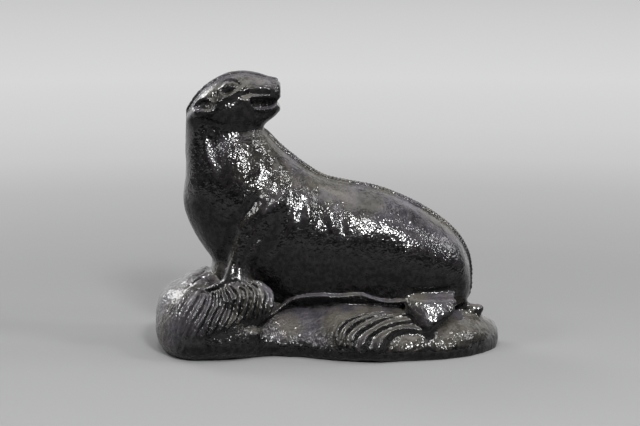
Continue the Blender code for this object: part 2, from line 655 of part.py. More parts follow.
def press_all(points, hide, strokes, origin, steepness=1.0):
    """Every stroke of a table, on both sides."""
    for half_width, depth, pairs in strokes.values():
        for side in (1, -1):
            path, normals = hide.from_side(smooth_rows(np.array(pairs) + origin, STEPS_IN_A_STROKE), side)
            press(points, path, normals, half_width, depth, steepness)


def press_mouth(points, hide):
    """The mouth's opening on both sides, and the gap between them."""
    half_width, depth, pairs = MOUTH
    trail = smooth_rows(np.array(pairs) + (HEAD_X, NECK_TOP), STEPS_IN_A_STROKE)
    for side in (1, -1):
        path, normals = hide.from_side(trail, side)
        press(points, path, normals * (1, 1, 0) + (0, 0, MOUTH_FALL), half_width, depth, MOUTH_STEEPNESS)
    half_width, depth, pairs = MOUTH_GAP
    path, normals = hide.from_front(smooth_rows(np.array(pairs) + (0, NECK_TOP), STEPS_IN_A_STROKE))
    press(points, path, normals, half_width, depth, PIT_STEEPNESS)


def soften(solid, low, high):
    """The skin smoothed between two corners of a box."""
    form = bmesh.new()
    form.from_mesh(solid.data)
    low = Vector(low) * MM
    high = Vector(high) * MM
    chosen = [corner for corner in form.verts if all(a < b < c for a, b, c in zip(low, corner.co, high))]
    for _ in range(SOFTEN_ROUNDS):
        bmesh.ops.smooth_vert(
            form, verts=chosen, factor=0.5, use_axis_x=True, use_axis_y=True, use_axis_z=True
        )
    form.to_mesh(solid.data)
    form.free()


def model_surface(solid, hide):
    """Eyes, mouth, folds and creases."""
    points = corners(solid)
    press_all(points, hide, HEAD_STROKES, (HEAD_X, NECK_TOP))
    press_all(points, hide, HEAD_PITS, (HEAD_X, NECK_TOP), PIT_STEEPNESS)
    press_all(points, hide, TRUNK_STROKES, (0, ROCK_TOP))
    for half_width, depth, pairs in SLOTS.values():
        path, normals = hide.from_side(smooth_rows(np.array(pairs) + (0, ROCK_TOP), STEPS_IN_A_STROKE), 1)
        press(points, path + SLOT_LIFT * normals, normals, half_width, depth, PIT_STEEPNESS)
    press_mouth(points, hide)
    move_corners(solid, points)
    soften(solid, *MOUTH_BOX)


def make_casting(form_voxel, detail_voxel):
    """The whole casting, still standing a little below the floor."""
    forms = [make_trunk(), make_head(), make_rock()]
    forms += [ball("palm", PALM_CENTRE, PALM_RADII), ball("stone", STONE_CENTRE, STONE_RADII)]
    forms += [limb("near_arm", NEAR_ARM), limb("far_arm", FAR_ARM, -1), limb("tail", TAIL)]
    forms += [make_heel(1), make_heel(-1), ball("brisket", BRISKET_CENTRE, BRISKET_RADII)]
    forms += [ball("instep", INSTEP_CENTRE, INSTEP_RADII), ball("instep", FAR_INSTEP_CENTRE, INSTEP_RADII)]
    body = fuse("body", forms, form_voxel, 6)
    hide = Hide(body)
    details = [body, *seam(), near_fore_flipper(hide), far_fore_flipper(hide)]
    for side in (1, -1):
        details += [hind_flipper(hide, side), make_hem(side)]
    casting = fuse("seal_figurine", details, detail_voxel, 1)
    model_surface(casting, hide)
    return casting


def thin_out(solid, triangles):
    """Fewer triangles, kept closest together where the surface turns most."""
    solid.data.calc_loop_triangles()
    thin = solid.modifiers.new("thin_out", "DECIMATE")
    thin.ratio = triangles / len(solid.data.loop_triangles)
    thin.use_collapse_triangulate = True
    return applied(solid)


def cut_flat(solid):
    """The underside cut off at the floor and closed by one flat face."""
    form = bmesh.new()
    form.from_mesh(solid.data)
    everything = form.verts[:] + form.edges[:] + form.faces[:]
    bmesh.ops.bisect_plane(
        form, geom=everything, dist=0.005 * MM, plane_co=(0, 0, 0), plane_no=(0, 0, 1), clear_inner=True
    )
    rim = [edge for edge in form.edges if edge.is_boundary]
    bmesh.ops.holes_fill(form, edges=rim)
    bmesh.ops.recalc_face_normals(form, faces=form.faces)
    form.to_mesh(solid.data)
    form.free()
    solid.data.shade_smooth()
    solid.data.set_sharp_from_angle(angle=SHARP_ANGLE)


def enamel():
    """Black stoving enamel over the iron."""
    finish = bpy.data.materials.new("black_enamel")
    finish.use_nodes = True
    shader = finish.node_tree.nodes["Principled BSDF"]
    shader.inputs["Base Color"].default_value = (0.02, 0.019, 0.02, 1)
    shader.inputs["Roughness"].default_value = 0.3
    shader.inputs["Metallic"].default_value = 0.0
    return finish


def main():
    for thing in list(bpy.data.objects):
        bpy.data.objects.remove(thing)
    casting = make_casting(FORM_VOXEL, DETAIL_VOXEL)
    thin_out(casting, TRIANGLES)
    cut_flat(casting)
    casting.data.materials.append(enamel())
    home = bpy.data.collections.new("seal_figurine")
    bpy.context.scene.collection.children.link(home)
    bpy.context.scene.collection.objects.unlink(casting)
    home.objects.link(casting)


main()
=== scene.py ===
"""The dressed figurine: a sea lion on a rock, cast in iron in one piece and enamelled black.

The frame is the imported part's: +Z is up, the floor is z = 0, +X runs towards the rump and the near side
is -Y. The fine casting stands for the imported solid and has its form, with the cast skin's texture on it.
Every length in the form's tables is in millimetres, and MM turns it into metres. The values for the
enamel, the stage, the lights and the camera are in metres.
"""

import math

import bmesh
import bpy
import numpy as np
from mathutils import Matrix, Vector, noise
from mathutils.bvhtree import BVHTree


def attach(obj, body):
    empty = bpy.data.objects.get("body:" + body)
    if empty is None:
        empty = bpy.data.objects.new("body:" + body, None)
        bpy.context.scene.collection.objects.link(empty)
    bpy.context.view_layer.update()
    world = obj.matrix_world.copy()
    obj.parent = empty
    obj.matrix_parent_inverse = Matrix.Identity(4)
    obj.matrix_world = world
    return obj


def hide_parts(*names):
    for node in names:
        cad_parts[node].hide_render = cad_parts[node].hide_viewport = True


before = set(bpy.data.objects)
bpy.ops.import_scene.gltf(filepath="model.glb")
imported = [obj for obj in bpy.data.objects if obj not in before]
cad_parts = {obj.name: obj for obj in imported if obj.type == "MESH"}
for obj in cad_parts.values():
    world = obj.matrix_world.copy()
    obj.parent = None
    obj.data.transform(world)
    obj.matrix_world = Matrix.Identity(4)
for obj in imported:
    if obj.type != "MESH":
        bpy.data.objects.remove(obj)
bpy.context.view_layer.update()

MM = 0.001

# The levels that the figure is built up from
ROCK_TOP = 14.0  # the rock's top under the belly
NECK_TOP = 64.0  # where the head sits on the neck
HEAD_X = -28.5  # the middle of the skull

# The rock, from the left end to the right: x, front y, back y, height, the height where it is widest,
# lowest z and squareness of its section. Wherever the lowest z is below the floor it is cut flat.
ROCK_STATIONS = [
    (-50.4, -3.5, 6.5, 12.2, 7.4, 6.0, 2.2),
    (-49.8, -8.5, 11.5, 15.0, 6.4, 3.6, 2.2),
    (-48.2, -12.8, 15.2, 17.5, 5.4, 0.7, 2.3),
    (-46.2, -15.8, 17.2, 18.9, 5.0, -1.4, 2.3),
    (-43.6, -19.0, 18.8, 19.9, 5.0, -2.4, 2.3),
    (-39.5, -22.2, 20.6, 21.4, 5.0, -2.5, 2.3),
    (-34.0, -22.8, 21.4, 21.8, 5.0, -2.2, 2.3),
    (-27.0, -21.4, 21.2, 20.8, 4.8, -2.2, 2.3),
    (-21.0, -17.4, 20.2, 18.0, 4.2, -2.6, 2.1),
    (-15.5, -15.0, 19.2, ROCK_TOP + 1.0, 3.4, -3.4, 1.9),
    (-8.0, -16.4, 19.4, ROCK_TOP + 0.6, 2.8, -3.4, 1.8),
    (-2.0, -18.8, 20.4, ROCK_TOP + 1.6, 2.6, -3.4, 1.75),
    (5.0, -22.2, 21.4, ROCK_TOP + 2.6, 2.6, -3.4, 1.75),
    (14.0, -23.4, 21.8, ROCK_TOP + 2.2, 2.6, -3.6, 1.75),
    (24.0, -21.4, 21.2, ROCK_TOP + 0.6, 2.4, -3.6, 1.8),
    (34.0, -18.0, 19.8, ROCK_TOP - 1.6, 2.0, -4.0, 1.9),
    (41.5, -13.6, 17.6, ROCK_TOP - 3.2, 2.0, -4.0, 2.0),
    (46.5, -7.8, 14.0, ROCK_TOP - 5.2, 2.2, -3.4, 2.1),
    (49.6, -2.4, 11.5, ROCK_TOP - 7.2, 2.4, -2.0, 2.2),
    (51.0, 1.4, 9.0, ROCK_TOP - 9.4, 2.8, 0.8, 2.2),
]
ROCK_LUMP = 0.7  # height of the broad lumps on the rock
ROCK_LUMP_PITCH = 6.0

# The trunk and neck, from the rump to the head: the section's back end x, z, its belly end x, z, and its
# half width. Heights are above ROCK_TOP.
TRUNK_STATIONS = [
    (42.3, 9.4, 42.3, 4.4, 3.2),
    (41.4, 14.2, 41.6, 1.0, 7.4),
    (38.4, 19.6, 39.3, -1.0, 11.4),
    (32.9, 24.7, 33.0, -2.0, 14.0),
    (25.2, 29.4, 24.6, -2.4, 15.3),
    (15.2, 33.5, 14.0, -2.6, 15.8),
    (5.6, 35.4, 3.0, -2.4, 15.6),
    (-1.0, 37.0, -9.0, -1.4, 15.4),
    (-6.4, 40.2, -20.4, 3.0, 15.2),
    (-10.5, 43.3, -31.3, 10.6, 14.6),
    (-13.9, 46.1, -38.3, 19.6, 13.4),
    (-16.5, 48.9, -42.1, 29.2, 12.0),
    (-18.1, 50.9, -41.3, 39.0, 10.2),
    (-19.3, 52.4, -41.2, 46.0, 8.2),
    (-20.0, 55.0, -41.0, 54.0, 7.2),
]
TRUNK_SQUARENESS = 2.15  # of its sections: 2 is an oval and more is fuller

# The head, from the nape to the snout: x, top, bottom and half width. x is from HEAD_X, and heights are
# above NECK_TOP.
HEAD_STATIONS = [
    (-12.4, 5.6, 3.0, 3.6),
    (-11.0, 8.2, 2.4, 6.4),
    (-8.3, 11.9, 2.0, 8.6),
    (-4.5, 14.8, 0.9, 9.6),
    (0.0, 16.9, -0.3, 9.7),
    (4.4, 17.4, -0.3, 8.8),
    (8.2, 16.8, 1.2, 7.2),
    (11.3, 16.0, 3.4, 5.8),
    (13.6, 15.7, 5.2, 5.0),
    (15.0, 15.0, 6.8, 4.0),
]
HEAD_SQUARENESS = 2.3

# The seam: a thin raised line round the outline, where the mould's halves met
SEAM_RADIUS = 0.8
SEAM_PROUD = 0.25  # how far the seam's centre stands above the skin
# Its girth at even steps along it, as shares of its radius
SEAM_BACK_GIRTHS = [0.5] + 10 * [1] + [0.6]
SEAM_CROWN_GIRTHS = [0.3, 0.7] + 6 * [1] + [0.8, 0.4]

# Limbs: x, y, z and radius along each one. The far ones mirror the near ones unless they are given.
NEAR_ARM = [
    (-8.0, -3.4, 46.5, 7.4),
    (-14.6, -7.6, 43.5, 7.4),
    (-19.4, -9.6, 37.5, 6.0),
    (-23.0, -10.6, 31.0, 4.7),
    (-25.2, -11.4, 26.4, 3.7),
    (-25.8, -12.4, 21.8, 4.8),
]
FAR_ARM = NEAR_ARM[:3] + [
    (-23.6, -10.0, 31.0, 4.7),
    (-26.8, -7.4, 26.6, 4.8),
    (-30.0, -5.0, 22.8, 4.4),
]
TAIL = [
    (38.5, 0.0, 12.6, 2.4),
    (42.4, 0.0, 11.6, 1.9),
    (45.2, 0.0, 11.4, 1.9),
    (46.2, 0.0, 10.9, 1.4),
]

# The heel, a flat plate that comes down from under the rump: x, y, z, half width along x and along y
HEEL = [
    (29.8, -12.4, 17.5, 8.1, 2.5),
    (30.1, -14.0, 15.2, 7.6, 2.3),
    (30.4, -15.2, 13.0, 6.5, 2.1),
    (29.9, -16.2, 11.1, 4.7, 1.9),
    (29.5, -17.0, 9.3, 2.9, 1.6),
    (29.3, -17.6, 7.2, 1.3, 1.1),
]

# The instep: a small swelling that joins the heel to its flipper
INSTEP_CENTRE = (24.8, -13.0, 12.6)
FAR_INSTEP_CENTRE = (24.8, 13.0, 12.6)
INSTEP_RADII = (3.2, 2.2, 2.8)

# The hem: a raised edge where the belly's skin meets the rock, as x, y of its outer edge, z and half
# thickness. Here z is from ROCK_TOP.
HEM = [
    (-20.2, -16.4, -3.9, 0.45),
    (-17.8, -14.6, -2.6, 0.55),
    (-15.2, -12.8, -1.1, 0.6),
    (-12.1, -11.4, 1.1, 0.6),
    (-9.1, -12.2, 2.8, 0.6),
    (-5.3, -13.4, 3.7, 0.6),
    (-0.7, -14.0, 4.0, 0.6),
    (3.8, -14.3, 3.8, 0.6),
    (7.4, -14.5, 4.2, 0.65),
    (10.2, -14.4, 4.2, 0.6),
    (13.4, -14.0, 3.1, 0.55),
    (17.4, -13.8, 2.2, 0.5),
    (21.6, -14.2, 2.4, 0.45),
    (24.6, -14.4, 2.8, 0.4),
]
HEM_REACH = 2.2  # half of its depth from the outer edge inward

# The brisket, where the breast comes down on the rock between the arms
BRISKET_CENTRE = (-29.0, 0.0, 23.6)
BRISKET_RADII = (5.4, 10.0, 5.2)

# The palm: a low mound on the rock that carries the near fore flipper
PALM_CENTRE = (-27.0, -13.2, 15.4)
PALM_RADII = (11.4, 5.8, 7.4)

# A small lump on the rock under that flipper
STONE_CENTRE = (-22.4, -16.6, 7.4)
STONE_RADII = (3.2, 2.0, 1.8)

# The flippers are pleated sheets laid on the forms, with one pleat for each ray. Each row below is a groove
# between two rays, or an edge of the sheet, as x, y, z from the root to the tips.
# The near fore flipper lies over the palm and bends sharply at the knuckles, the third point of each row.
FORE_RAYS = 12
FORE_GROOVES = [
    [(-34.8, -14.4, 20.0), (-37.8, -13.8, 19.0), (-40.4, -13.8, 17.7), (-43.0, -16.6, 13.4),
     (-44.2, -17.6, 9.4)],
    [(-33.6, -15.4, 20.0), (-34.8, -15.4, 19.4), (-35.8, -15.6, 18.5), (-38.2, -19.2, 13.7),
     (-41.2, -20.6, 7.4)],
    [(-31.8, -16.0, 20.6), (-32.0, -17.2, 18.9), (-32.5, -18.2, 16.7), (-34.0, -20.0, 12.9),
     (-37.4, -22.0, 7.2)],
    [(-30.0, -16.2, 21.4), (-29.2, -17.4, 19.6), (-28.4, -18.6, 17.2), (-30.0, -20.0, 12.8),
     (-32.8, -21.8, 8.2)],
    [(-27.2, -16.0, 22.4), (-25.7, -17.0, 20.8), (-24.1, -17.8, 19.0), (-25.2, -19.2, 14.0),
     (-27.6, -20.8, 10.6)],
    [(-24.0, -15.2, 22.8), (-22.1, -15.8, 21.4), (-20.3, -16.4, 19.4), (-20.9, -18.0, 15.0),
     (-21.8, -18.4, 12.2)],
    [(-21.4, -13.0, 22.7), (-18.9, -12.6, 21.4), (-16.6, -13.2, 18.6), (-16.4, -15.0, 15.4),
     (-17.2, -16.0, 12.6)],
]
FORE_DEPTH = 1.6  # from the grooves up to the rays

# The far fore flipper is spread over the top of the rock in a few broad folds.
FAR_FORE_RAYS = 6
FAR_FORE_GROOVES = [
    [(-29.5, -3.0, 22.4), (-32.0, -9.0, 21.0), (-35.4, -13.0, 19.4), (-40.8, -14.8, 16.8)],
    [(-31.6, 2.5, 23.0), (-35.0, -1.5, 22.2), (-38.2, -5.8, 21.2), (-43.6, -9.2, 18.4)],
    [(-31.6, 7.0, 23.0), (-36.0, 8.0, 22.0), (-40.0, 8.6, 21.0), (-45.8, 8.4, 17.6)],
    [(-30.5, 10.5, 22.4), (-35.0, 14.5, 20.6), (-39.5, 17.0, 17.6), (-43.0, 17.5, 12.0)],
]
FAR_FORE_DEPTH = 0.5
FAR_FORE_FOLD = 1.7  # height of the broad folds, one for every two rays

# Hind flippers, from the heel forward to the drooping tips. The far one mirrors the near one.
HIND_RAYS = 5
HIND_GROOVES = [
    [(18.0, -12.2, 14.4), (10.6, -14.8, 13.3), (6.2, -16.5, 12.1), (3.1, -18.4, 10.1), (2.1, -19.8, 7.6),
     (3.6, -21.2, 4.8)],
    [(22.4, -12.6, 13.4), (14.0, -16.2, 12.8), (10.2, -17.8, 11.5), (7.0, -19.7, 9.8), (5.4, -20.8, 7.6),
     (5.8, -21.8, 4.0)],
    [(26.0, -13.6, 11.8), (20.0, -16.4, 11.4), (16.4, -18.8, 10.5), (12.9, -20.9, 8.9), (10.3, -22.2, 6.6),
     (9.8, -23.0, 3.2)],
    [(29.1, -17.4, 7.5), (26.4, -18.2, 8.0), (23.0, -18.8, 8.5), (19.9, -20.2, 7.9), (17.6, -22.0, 6.0),
     (16.4, -23.0, 3.6)],
]
HIND_DEPTH = 1.7

# How each flipper changes from root to tips: share of its length, thickness at the grooves, and share of the
# pleats' full depth. The near fore flipper's grooves are shallow at the knuckles.
FORE_SECTION = [
    (0.0, 0.0, 0.2),
    (0.2, 0.2, 1.0),
    (0.36, 0.4, 0.8),
    (0.5, 0.9, 0.6),
    (0.62, 0.5, 1.0),
    (0.85, 0.8, 1.0),
    (1.0, 0.4, 0.8),
]
FAR_FORE_SECTION = [(0.0, 0.0, 0.3), (0.3, 0.4, 1.0), (0.7, 0.3, 0.8), (1.0, -0.6, 0.3)]
HIND_SECTION = [(0.0, 0.0, 0.2), (0.2, 0.2, 0.7), (0.5, 0.4, 1.0), (0.85, 0.7, 1.0), (1.0, 0.4, 0.8)]
FLIPPER_ROOT_DEPTH = 1.5  # how deep the sheet is sunk under the skin
GROOVE_SHORTER = 0.04  # how far the tips stand out past the grooves, as a share of the length
COLUMNS_IN_A_RAY = 8
STEPS_IN_A_RAY = 8

# Creases and folds on both sides of the head: the half width of each, how deep it is pressed in, and its
# path, as x, z pairs laid on the skin. A negative depth raises a fold. Here x is from HEAD_X and z from
# NECK_TOP.
HEAD_STROKES = {
    "upper_lid": (
        0.65, 0.75, [(-3.1, 14.0), (-2.3, 15.2), (-1.0, 16.0), (0.6, 16.2), (2.0, 15.8), (3.5, 14.7)],
    ),
    "lower_lid": (0.5, 0.5, [(-2.3, 13.2), (-1.0, 12.8), (0.3, 12.9), (1.6, 13.4), (2.8, 14.2)]),
    "eyeball": (1.4, -1.0, [(-0.1, 14.5), (0.3, 14.5)]),
    "eye_bag": (0.7, -0.3, [(-2.1, 12.0), (-0.7, 11.7), (0.9, 12.0), (2.5, 12.9)]),
    "cheek_fold": (
        0.9, -0.65, [(-3.3, 9.1), (-2.3, 10.0), (-1.0, 10.9), (0.5, 11.5), (2.0, 12.7), (3.4, 14.3)],
    ),
    "cheek_hollow": (1.0, 0.25, [(-2.4, 8.0), (-0.9, 9.3), (0.9, 10.2), (2.4, 11.2)]),
    "lower_cheek": (0.9, -0.2, [(-2.4, 7.2), (-1.2, 8.2), (0.2, 9.0)]),
    "ear_flap": (1.3, -1.3, [(-10.4, 6.7), (-8.6, 6.9), (-6.2, 7.2), (-3.6, 8.0)]),
    "under_ear": (1.4, 0.8, [(-10.8, 4.2), (-8.0, 4.2), (-5.0, 3.6), (-2.0, 2.6)]),
    "muzzle_pad": (2.3, -1.0, [(8.5, 14.6), (11.4, 14.3)]),
    "muzzle_groove": (
        0.75, 0.65, [(4.0, 11.6), (5.2, 12.2), (6.6, 12.5), (8.4, 12.4), (10.6, 12.2), (13.0, 11.9)],
    ),
    "muzzle_wrinkle_1": (0.5, -0.4, [(3.9, 13.6), (5.6, 14.8)]),
    "muzzle_wrinkle_2": (0.5, -0.35, [(4.6, 12.9), (6.2, 14.0)]),
    "mouth_corner": (0.9, -0.5, [(5.2, 11.4), (5.0, 10.4), (5.4, 9.2)]),
    "upper_lip": (0.45, -0.4, [(5.9, 11.5), (7.6, 11.7), (9.8, 11.6), (12.4, 11.3)]),
    "lower_lip": (
        0.5,
        -0.6,
        [(6.0, 10.9), (5.9, 10.0), (6.7, 8.8), (8.1, 7.8), (10.3, 7.6), (12.6, 8.1), (13.8, 8.9)],
    ),
    "chin_groove": (0.8, 0.4, [(7.5, 6.5), (10.5, 6.1), (12.7, 6.9)]),
}

# Pits have steeper walls than strokes.
HEAD_PITS = {
    "ear_hollow": (1.1, 1.5, [(-9.6, 8.6), (-8.6, 9.3), (-7.4, 9.6), (-6.2, 9.3), (-5.4, 8.6)]),
    "temple": (1.0, 0.8, [(-3.6, 13.0), (-4.2, 11.6), (-4.4, 10.2)]),
    "nostril": (0.5, 0.5, [(12.6, 15.0), (13.6, 14.6)]),
}

# Two deep slots beside a fold of the far fore flipper, seen from the near side, as x and z from ROCK_TOP
SLOTS = {
    "near_slot": (1.0, 2.0, [(-35.6, 5.3), (-33.6, 6.2), (-31.6, 7.2), (-30.2, 7.8)]),
    "far_slot": (1.0, 1.8, [(-40.8, 5.8), (-38.6, 6.7), (-36.6, 7.3), (-34.4, 7.9)]),
}
SLOT_LIFT = 0.9  # how far above the rock's skin the slots' paths lie

# The open mouth, pressed in and a little down from both sides: half width, depth, and x, z pairs as for the
# strokes
MOUTH = (1.05, 3.0, [(7.6, 9.9), (9.4, 9.8), (11.4, 9.8), (13.2, 9.9)])
MOUTH_STEEPNESS = 3.0
MOUTH_FALL = 0.45  # down for each millimetre in
# The mouth's gap round the front of the snout: half width, depth, and y, z pairs from NECK_TOP
MOUTH_GAP = (0.85, 1.1, [(-4.0, 9.4), (0.0, 9.2), (4.0, 9.4)])
MOUTH_BOX = ((-23.5, -12.0, 70.5), (-12.0, 12.0, 77.0))  # where the lips are smoothed, corner to corner
SOFTEN_ROUNDS = 2

# On the trunk, x is from the frame's origin and z from ROCK_TOP.
TRUNK_STROKES = {
    "neck_valley": (3.2, 0.8, [(-19.8, 42.4), (-19.1, 39.2), (-19.7, 35.4), (-20.7, 32.2)]),
    "breast_fold": (
        1.9,
        0.9,
        [(-19.6, 34.2), (-20.6, 32.0), (-22.3, 29.4), (-24.3, 27.0), (-25.9, 24.6), (-27.2, 20.6),
         (-28.6, 16.6)],
    ),
    "breast_ridge": (
        1.3,
        -0.5,
        [(-17.8, 34.5), (-18.9, 32.3), (-20.9, 29.1), (-23.5, 26.0), (-25.2, 22.6), (-26.2, 19.0),
         (-27.2, 15.0)],
    ),
    "arm_ridge": (
        2.2,
        -0.6,
        [(-12.6, 34.8), (-12.8, 32.5), (-13.8, 29.1), (-14.6, 25.4), (-16.1, 22.2), (-18.8, 19.4),
         (-23.1, 14.5)],
    ),
    "arm_groove": (0.9, 0.5, [(-18.6, 22.2), (-20.9, 20.2), (-22.5, 17.7), (-23.4, 15.6)]),
    "behind_arm": (
        2.1,
        0.7,
        [(-11.2, 35.5), (-11.2, 32.0), (-12.0, 28.0), (-13.0, 25.0), (-15.6, 20.4), (-18.4, 16.0)],
    ),
    "neck_line": (1.1, -0.3, [(-13.6, 43.3), (-14.5, 40.9), (-15.8, 37.0), (-17.0, 34.0)]),
    "neck_line_side": (1.2, 0.3, [(-14.9, 43.0), (-15.9, 40.0), (-17.2, 36.6)]),
    "flank_crease_1": (1.5, 0.4, [(-2.7, 34.6), (-2.3, 30.0), (-2.0, 25.5)]),
    "flank_fold_1": (1.5, -0.25, [(-0.7, 34.2), (-0.3, 30.0), (0.0, 27.0)]),
    "flank_crease_2": (1.6, 0.4, [(-7.2, 33.0), (-7.5, 29.0), (-7.8, 26.0)]),
    "flank_crease_3": (1.3, 0.4, [(-10.2, 37.2), (-10.8, 32.7)]),
    "flank_fold_4": (2.0, -0.4, [(-6.6, 36.0), (-5.8, 31.0), (-5.2, 24.0)]),
    "flank_fold_5": (1.3, -0.35, [(0.9, 32.6), (1.6, 28.0), (2.2, 22.0)]),
    "flank_crease_5": (1.4, 0.35, [(3.4, 32.0), (4.1, 27.0), (4.4, 22.0)]),
    "flank_fold_6": (1.6, -0.25, [(6.6, 30.6), (7.2, 26.0)]),
    "flank_fold_3": (1.3, -0.25, [(-8.9, 36.6), (-9.2, 32.4)]),
    "nape_fold": (1.5, -0.5, [(-36.2, 51.6), (-34.8, 47.1), (-33.7, 43.3), (-33.1, 40.5)]),
    "nape_crease": (1.3, 0.35, [(-34.6, 51.0), (-33.2, 47.0), (-32.2, 43.3), (-31.6, 40.5)]),
    "haunch_crease": (4.5, 0.5, [(14.6, 24.0), (16.4, 18.0), (17.0, 12.0), (16.8, 7.0)]),
    "wrist_groove_1": (0.6, 0.5, [(-23.2, 17.6), (-23.5, 15.6), (-23.8, 13.0)]),
    "wrist_groove_2": (0.6, 0.5, [(-26.2, 15.6), (-26.7, 13.0), (-27.0, 10.4)]),
    "over_heel": (1.4, 1.0, [(25.0, 4.8), (30.0, 5.0), (35.0, 5.4), (39.0, 6.4)]),
}

# How finely the casting is modelled
FORM_VOXEL = 0.8
DETAIL_VOXEL = 0.36
FORM_SMOOTHING = 6  # rounds, once the forms are joined
DETAIL_SMOOTHING = 1  # rounds, once flippers, hem and seam are joined on
RING_SIDES = 40
STEPS_BETWEEN_STATIONS = 5
STEPS_BETWEEN_GROOVES = 24
STEPS_IN_A_STROKE = 12
OUTSIDE = 100  # farther out than any of the skin
SAME_POINT = 0.001  # corners closer than this are one corner
ON_FLOOR = 0.005  # corners this near to the floor are on it

# A stroke's section and ends. Its reach and the length of its fading ends are in its own half widths.
PIT_STEEPNESS = 1.9  # 1 is a stroke's own rounded section
STROKE_REACH = 1.6
STROKE_FADE = 2.0
STROKE_END_SHARE = 0.2  # the share of its depth at the very end
STROKE_LEAN = 0.5  # how much each push leans towards the whole path's direction

# The finished mesh
TRIANGLES = 190000
SHARP_ANGLE = np.radians(60)


def smooth_rows(rows, steps=STEPS_BETWEEN_STATIONS):
    """Rows of numbers joined by a Catmull-Rom curve, with `steps` rows for each gap between them."""
    rows = np.array(rows, float)
    ends = np.vstack([2 * rows[0] - rows[1], rows, 2 * rows[-1] - rows[-2]])
    found = []
    for a, b, c, d in zip(ends, ends[1:], ends[2:], ends[3:]):
        for t in np.arange(steps) / steps:
            found.append(
                b
                + 0.5 * t * (c - a)
                + t * t * (a - 2.5 * b + 2 * c - 0.5 * d)
                + 0.5 * t**3 * (3 * b - a - 3 * c + d)
            )
    return np.array(found + [rows[-1]])


def new_object(name, mesh):
    thing = bpy.data.objects.new(name, mesh)
    bpy.context.scene.collection.objects.link(thing)
    return thing


def skin(name, rings):
    """A closed solid through rings of equally many points, given in millimetres."""
    form = bmesh.new()
    loops = [[form.verts.new(Vector(point) * MM) for point in ring] for ring in rings]
    for one, two in zip(loops, loops[1:]):
        for k in range(len(one)):
            after = (k + 1) % len(one)
            form.faces.new((one[k], one[after], two[after], two[k]))
    form.faces.new(loops[0])
    form.faces.new(loops[-1])
    bmesh.ops.recalc_face_normals(form, faces=form.faces)
    mesh = bpy.data.meshes.new(name)
    form.to_mesh(mesh)
    form.free()
    return new_object(name, mesh)


def rounded(turns, power):
    """Cosine and sine of each turn, squared off by `power`: 2 gives an oval and more gives a fuller one."""
    cosines = np.cos(turns)
    sines = np.sin(turns)
    return (
        np.sign(cosines) * np.abs(cosines) ** (2 / power),
        np.sign(sines) * np.abs(sines) ** (2 / power),
    )


def oval_ring(top, bottom, half_width, power):
    """Points round an oval that stands on `bottom` and reaches `top`, both x, z points on y = 0."""
    middle = (np.array(top) + np.array(bottom)) / 2
    half = (np.array(top) - np.array(bottom)) / 2
    along, across = rounded(np.linspace(0, 2 * np.pi, RING_SIDES, endpoint=False), power)
    points = middle + along[:, None] * half
    return [(x, half_width * y, z) for (x, z), y in zip(points, across)]


def make_trunk():
    rings = [
        oval_ring((bx, bz + ROCK_TOP), (px, pz + ROCK_TOP), half_width, TRUNK_SQUARENESS)
        for bx, bz, px, pz, half_width in smooth_rows(TRUNK_STATIONS)
    ]
    return skin("trunk", rings)


def make_head():
    rings = []
    for x, top, bottom, half_width in smooth_rows(HEAD_STATIONS):
        top_point = (HEAD_X + x, NECK_TOP + top)
        bottom_point = (HEAD_X + x, NECK_TOP + bottom)
        rings.append(oval_ring(top_point, bottom_point, half_width, HEAD_SQUARENESS))
    return skin("head", rings)


def make_rock():
    """A loft of squared ovals along X, with lumps all over."""
    turns = np.linspace(0, 2 * np.pi, 2 * RING_SIDES, endpoint=False)
    rings = []
    for x, front, back, height, waist, lowest, power in smooth_rows(ROCK_STATIONS):
        ring = []
        for across, up in zip(*rounded(turns, power)):
            rise = height - waist if up > 0 else waist - lowest
            point = Vector((x, (front + back) / 2 + across * (back - front) / 2, waist + up * rise))
            lump = ROCK_LUMP * noise.noise(point / ROCK_LUMP_PITCH)
            ring.append(point + Vector((0, across, up)) * lump)
        rings.append(ring)
    return skin("rock", rings)


def make_heel(side):
    turns = np.linspace(0, 2 * np.pi, RING_SIDES, endpoint=False)
    rings = [
        [(x + along * np.cos(turn), side * (y + across * np.sin(turn)), z) for turn in turns]
        for x, y, z, along, across in smooth_rows(HEEL)
    ]
    return skin("heel", rings)


def make_hem(side):
    """A thin blade along the hem, rounded at its outer edge and sunk into the belly."""
    rows = smooth_rows(HEM)
    steps = np.gradient(rows[:, (0, 2)], axis=0)
    steps /= np.linalg.norm(steps, axis=1)[:, None]
    turns = np.linspace(0, 2 * np.pi, RING_SIDES, endpoint=False)
    rings = []
    for (x, y, z, half), (along, rise) in zip(rows, steps):
        across = half * np.sin(turns)
        inward = HEM_REACH * (1 - np.cos(turns))
        heights = ROCK_TOP + z + along * across
        rings.append(list(zip(x - rise * across, side * (y + inward), heights)))
    return skin("hem", rings)


def tube(name, points, radii):
    """A round tube through points in millimetres, with a radius at each one and closed ends."""
    path = bpy.data.curves.new(name, "CURVE")
    path.dimensions = "3D"
    path.bevel_depth = MM
    path.bevel_resolution = 3
    path.use_fill_caps = True
    line = path.splines.new("POLY")
    line.points.add(len(points) - 1)
    for place, point, radius in zip(line.points, points, radii):
        place.co = (*(Vector(point) * MM), 1)
        place.radius = radius
    wire = new_object(name, path)
    graph = bpy.context.evaluated_depsgraph_get()
    mesh = bpy.data.meshes.new_from_object(wire.evaluated_get(graph))
    bpy.data.objects.remove(wire)
    solid = bmesh.new()
    solid.from_mesh(mesh)
    bmesh.ops.remove_doubles(solid, verts=solid.verts, dist=SAME_POINT * MM)
    bmesh.ops.recalc_face_normals(solid, faces=solid.faces)
    solid.to_mesh(mesh)
    solid.free()
    return new_object(name, mesh)


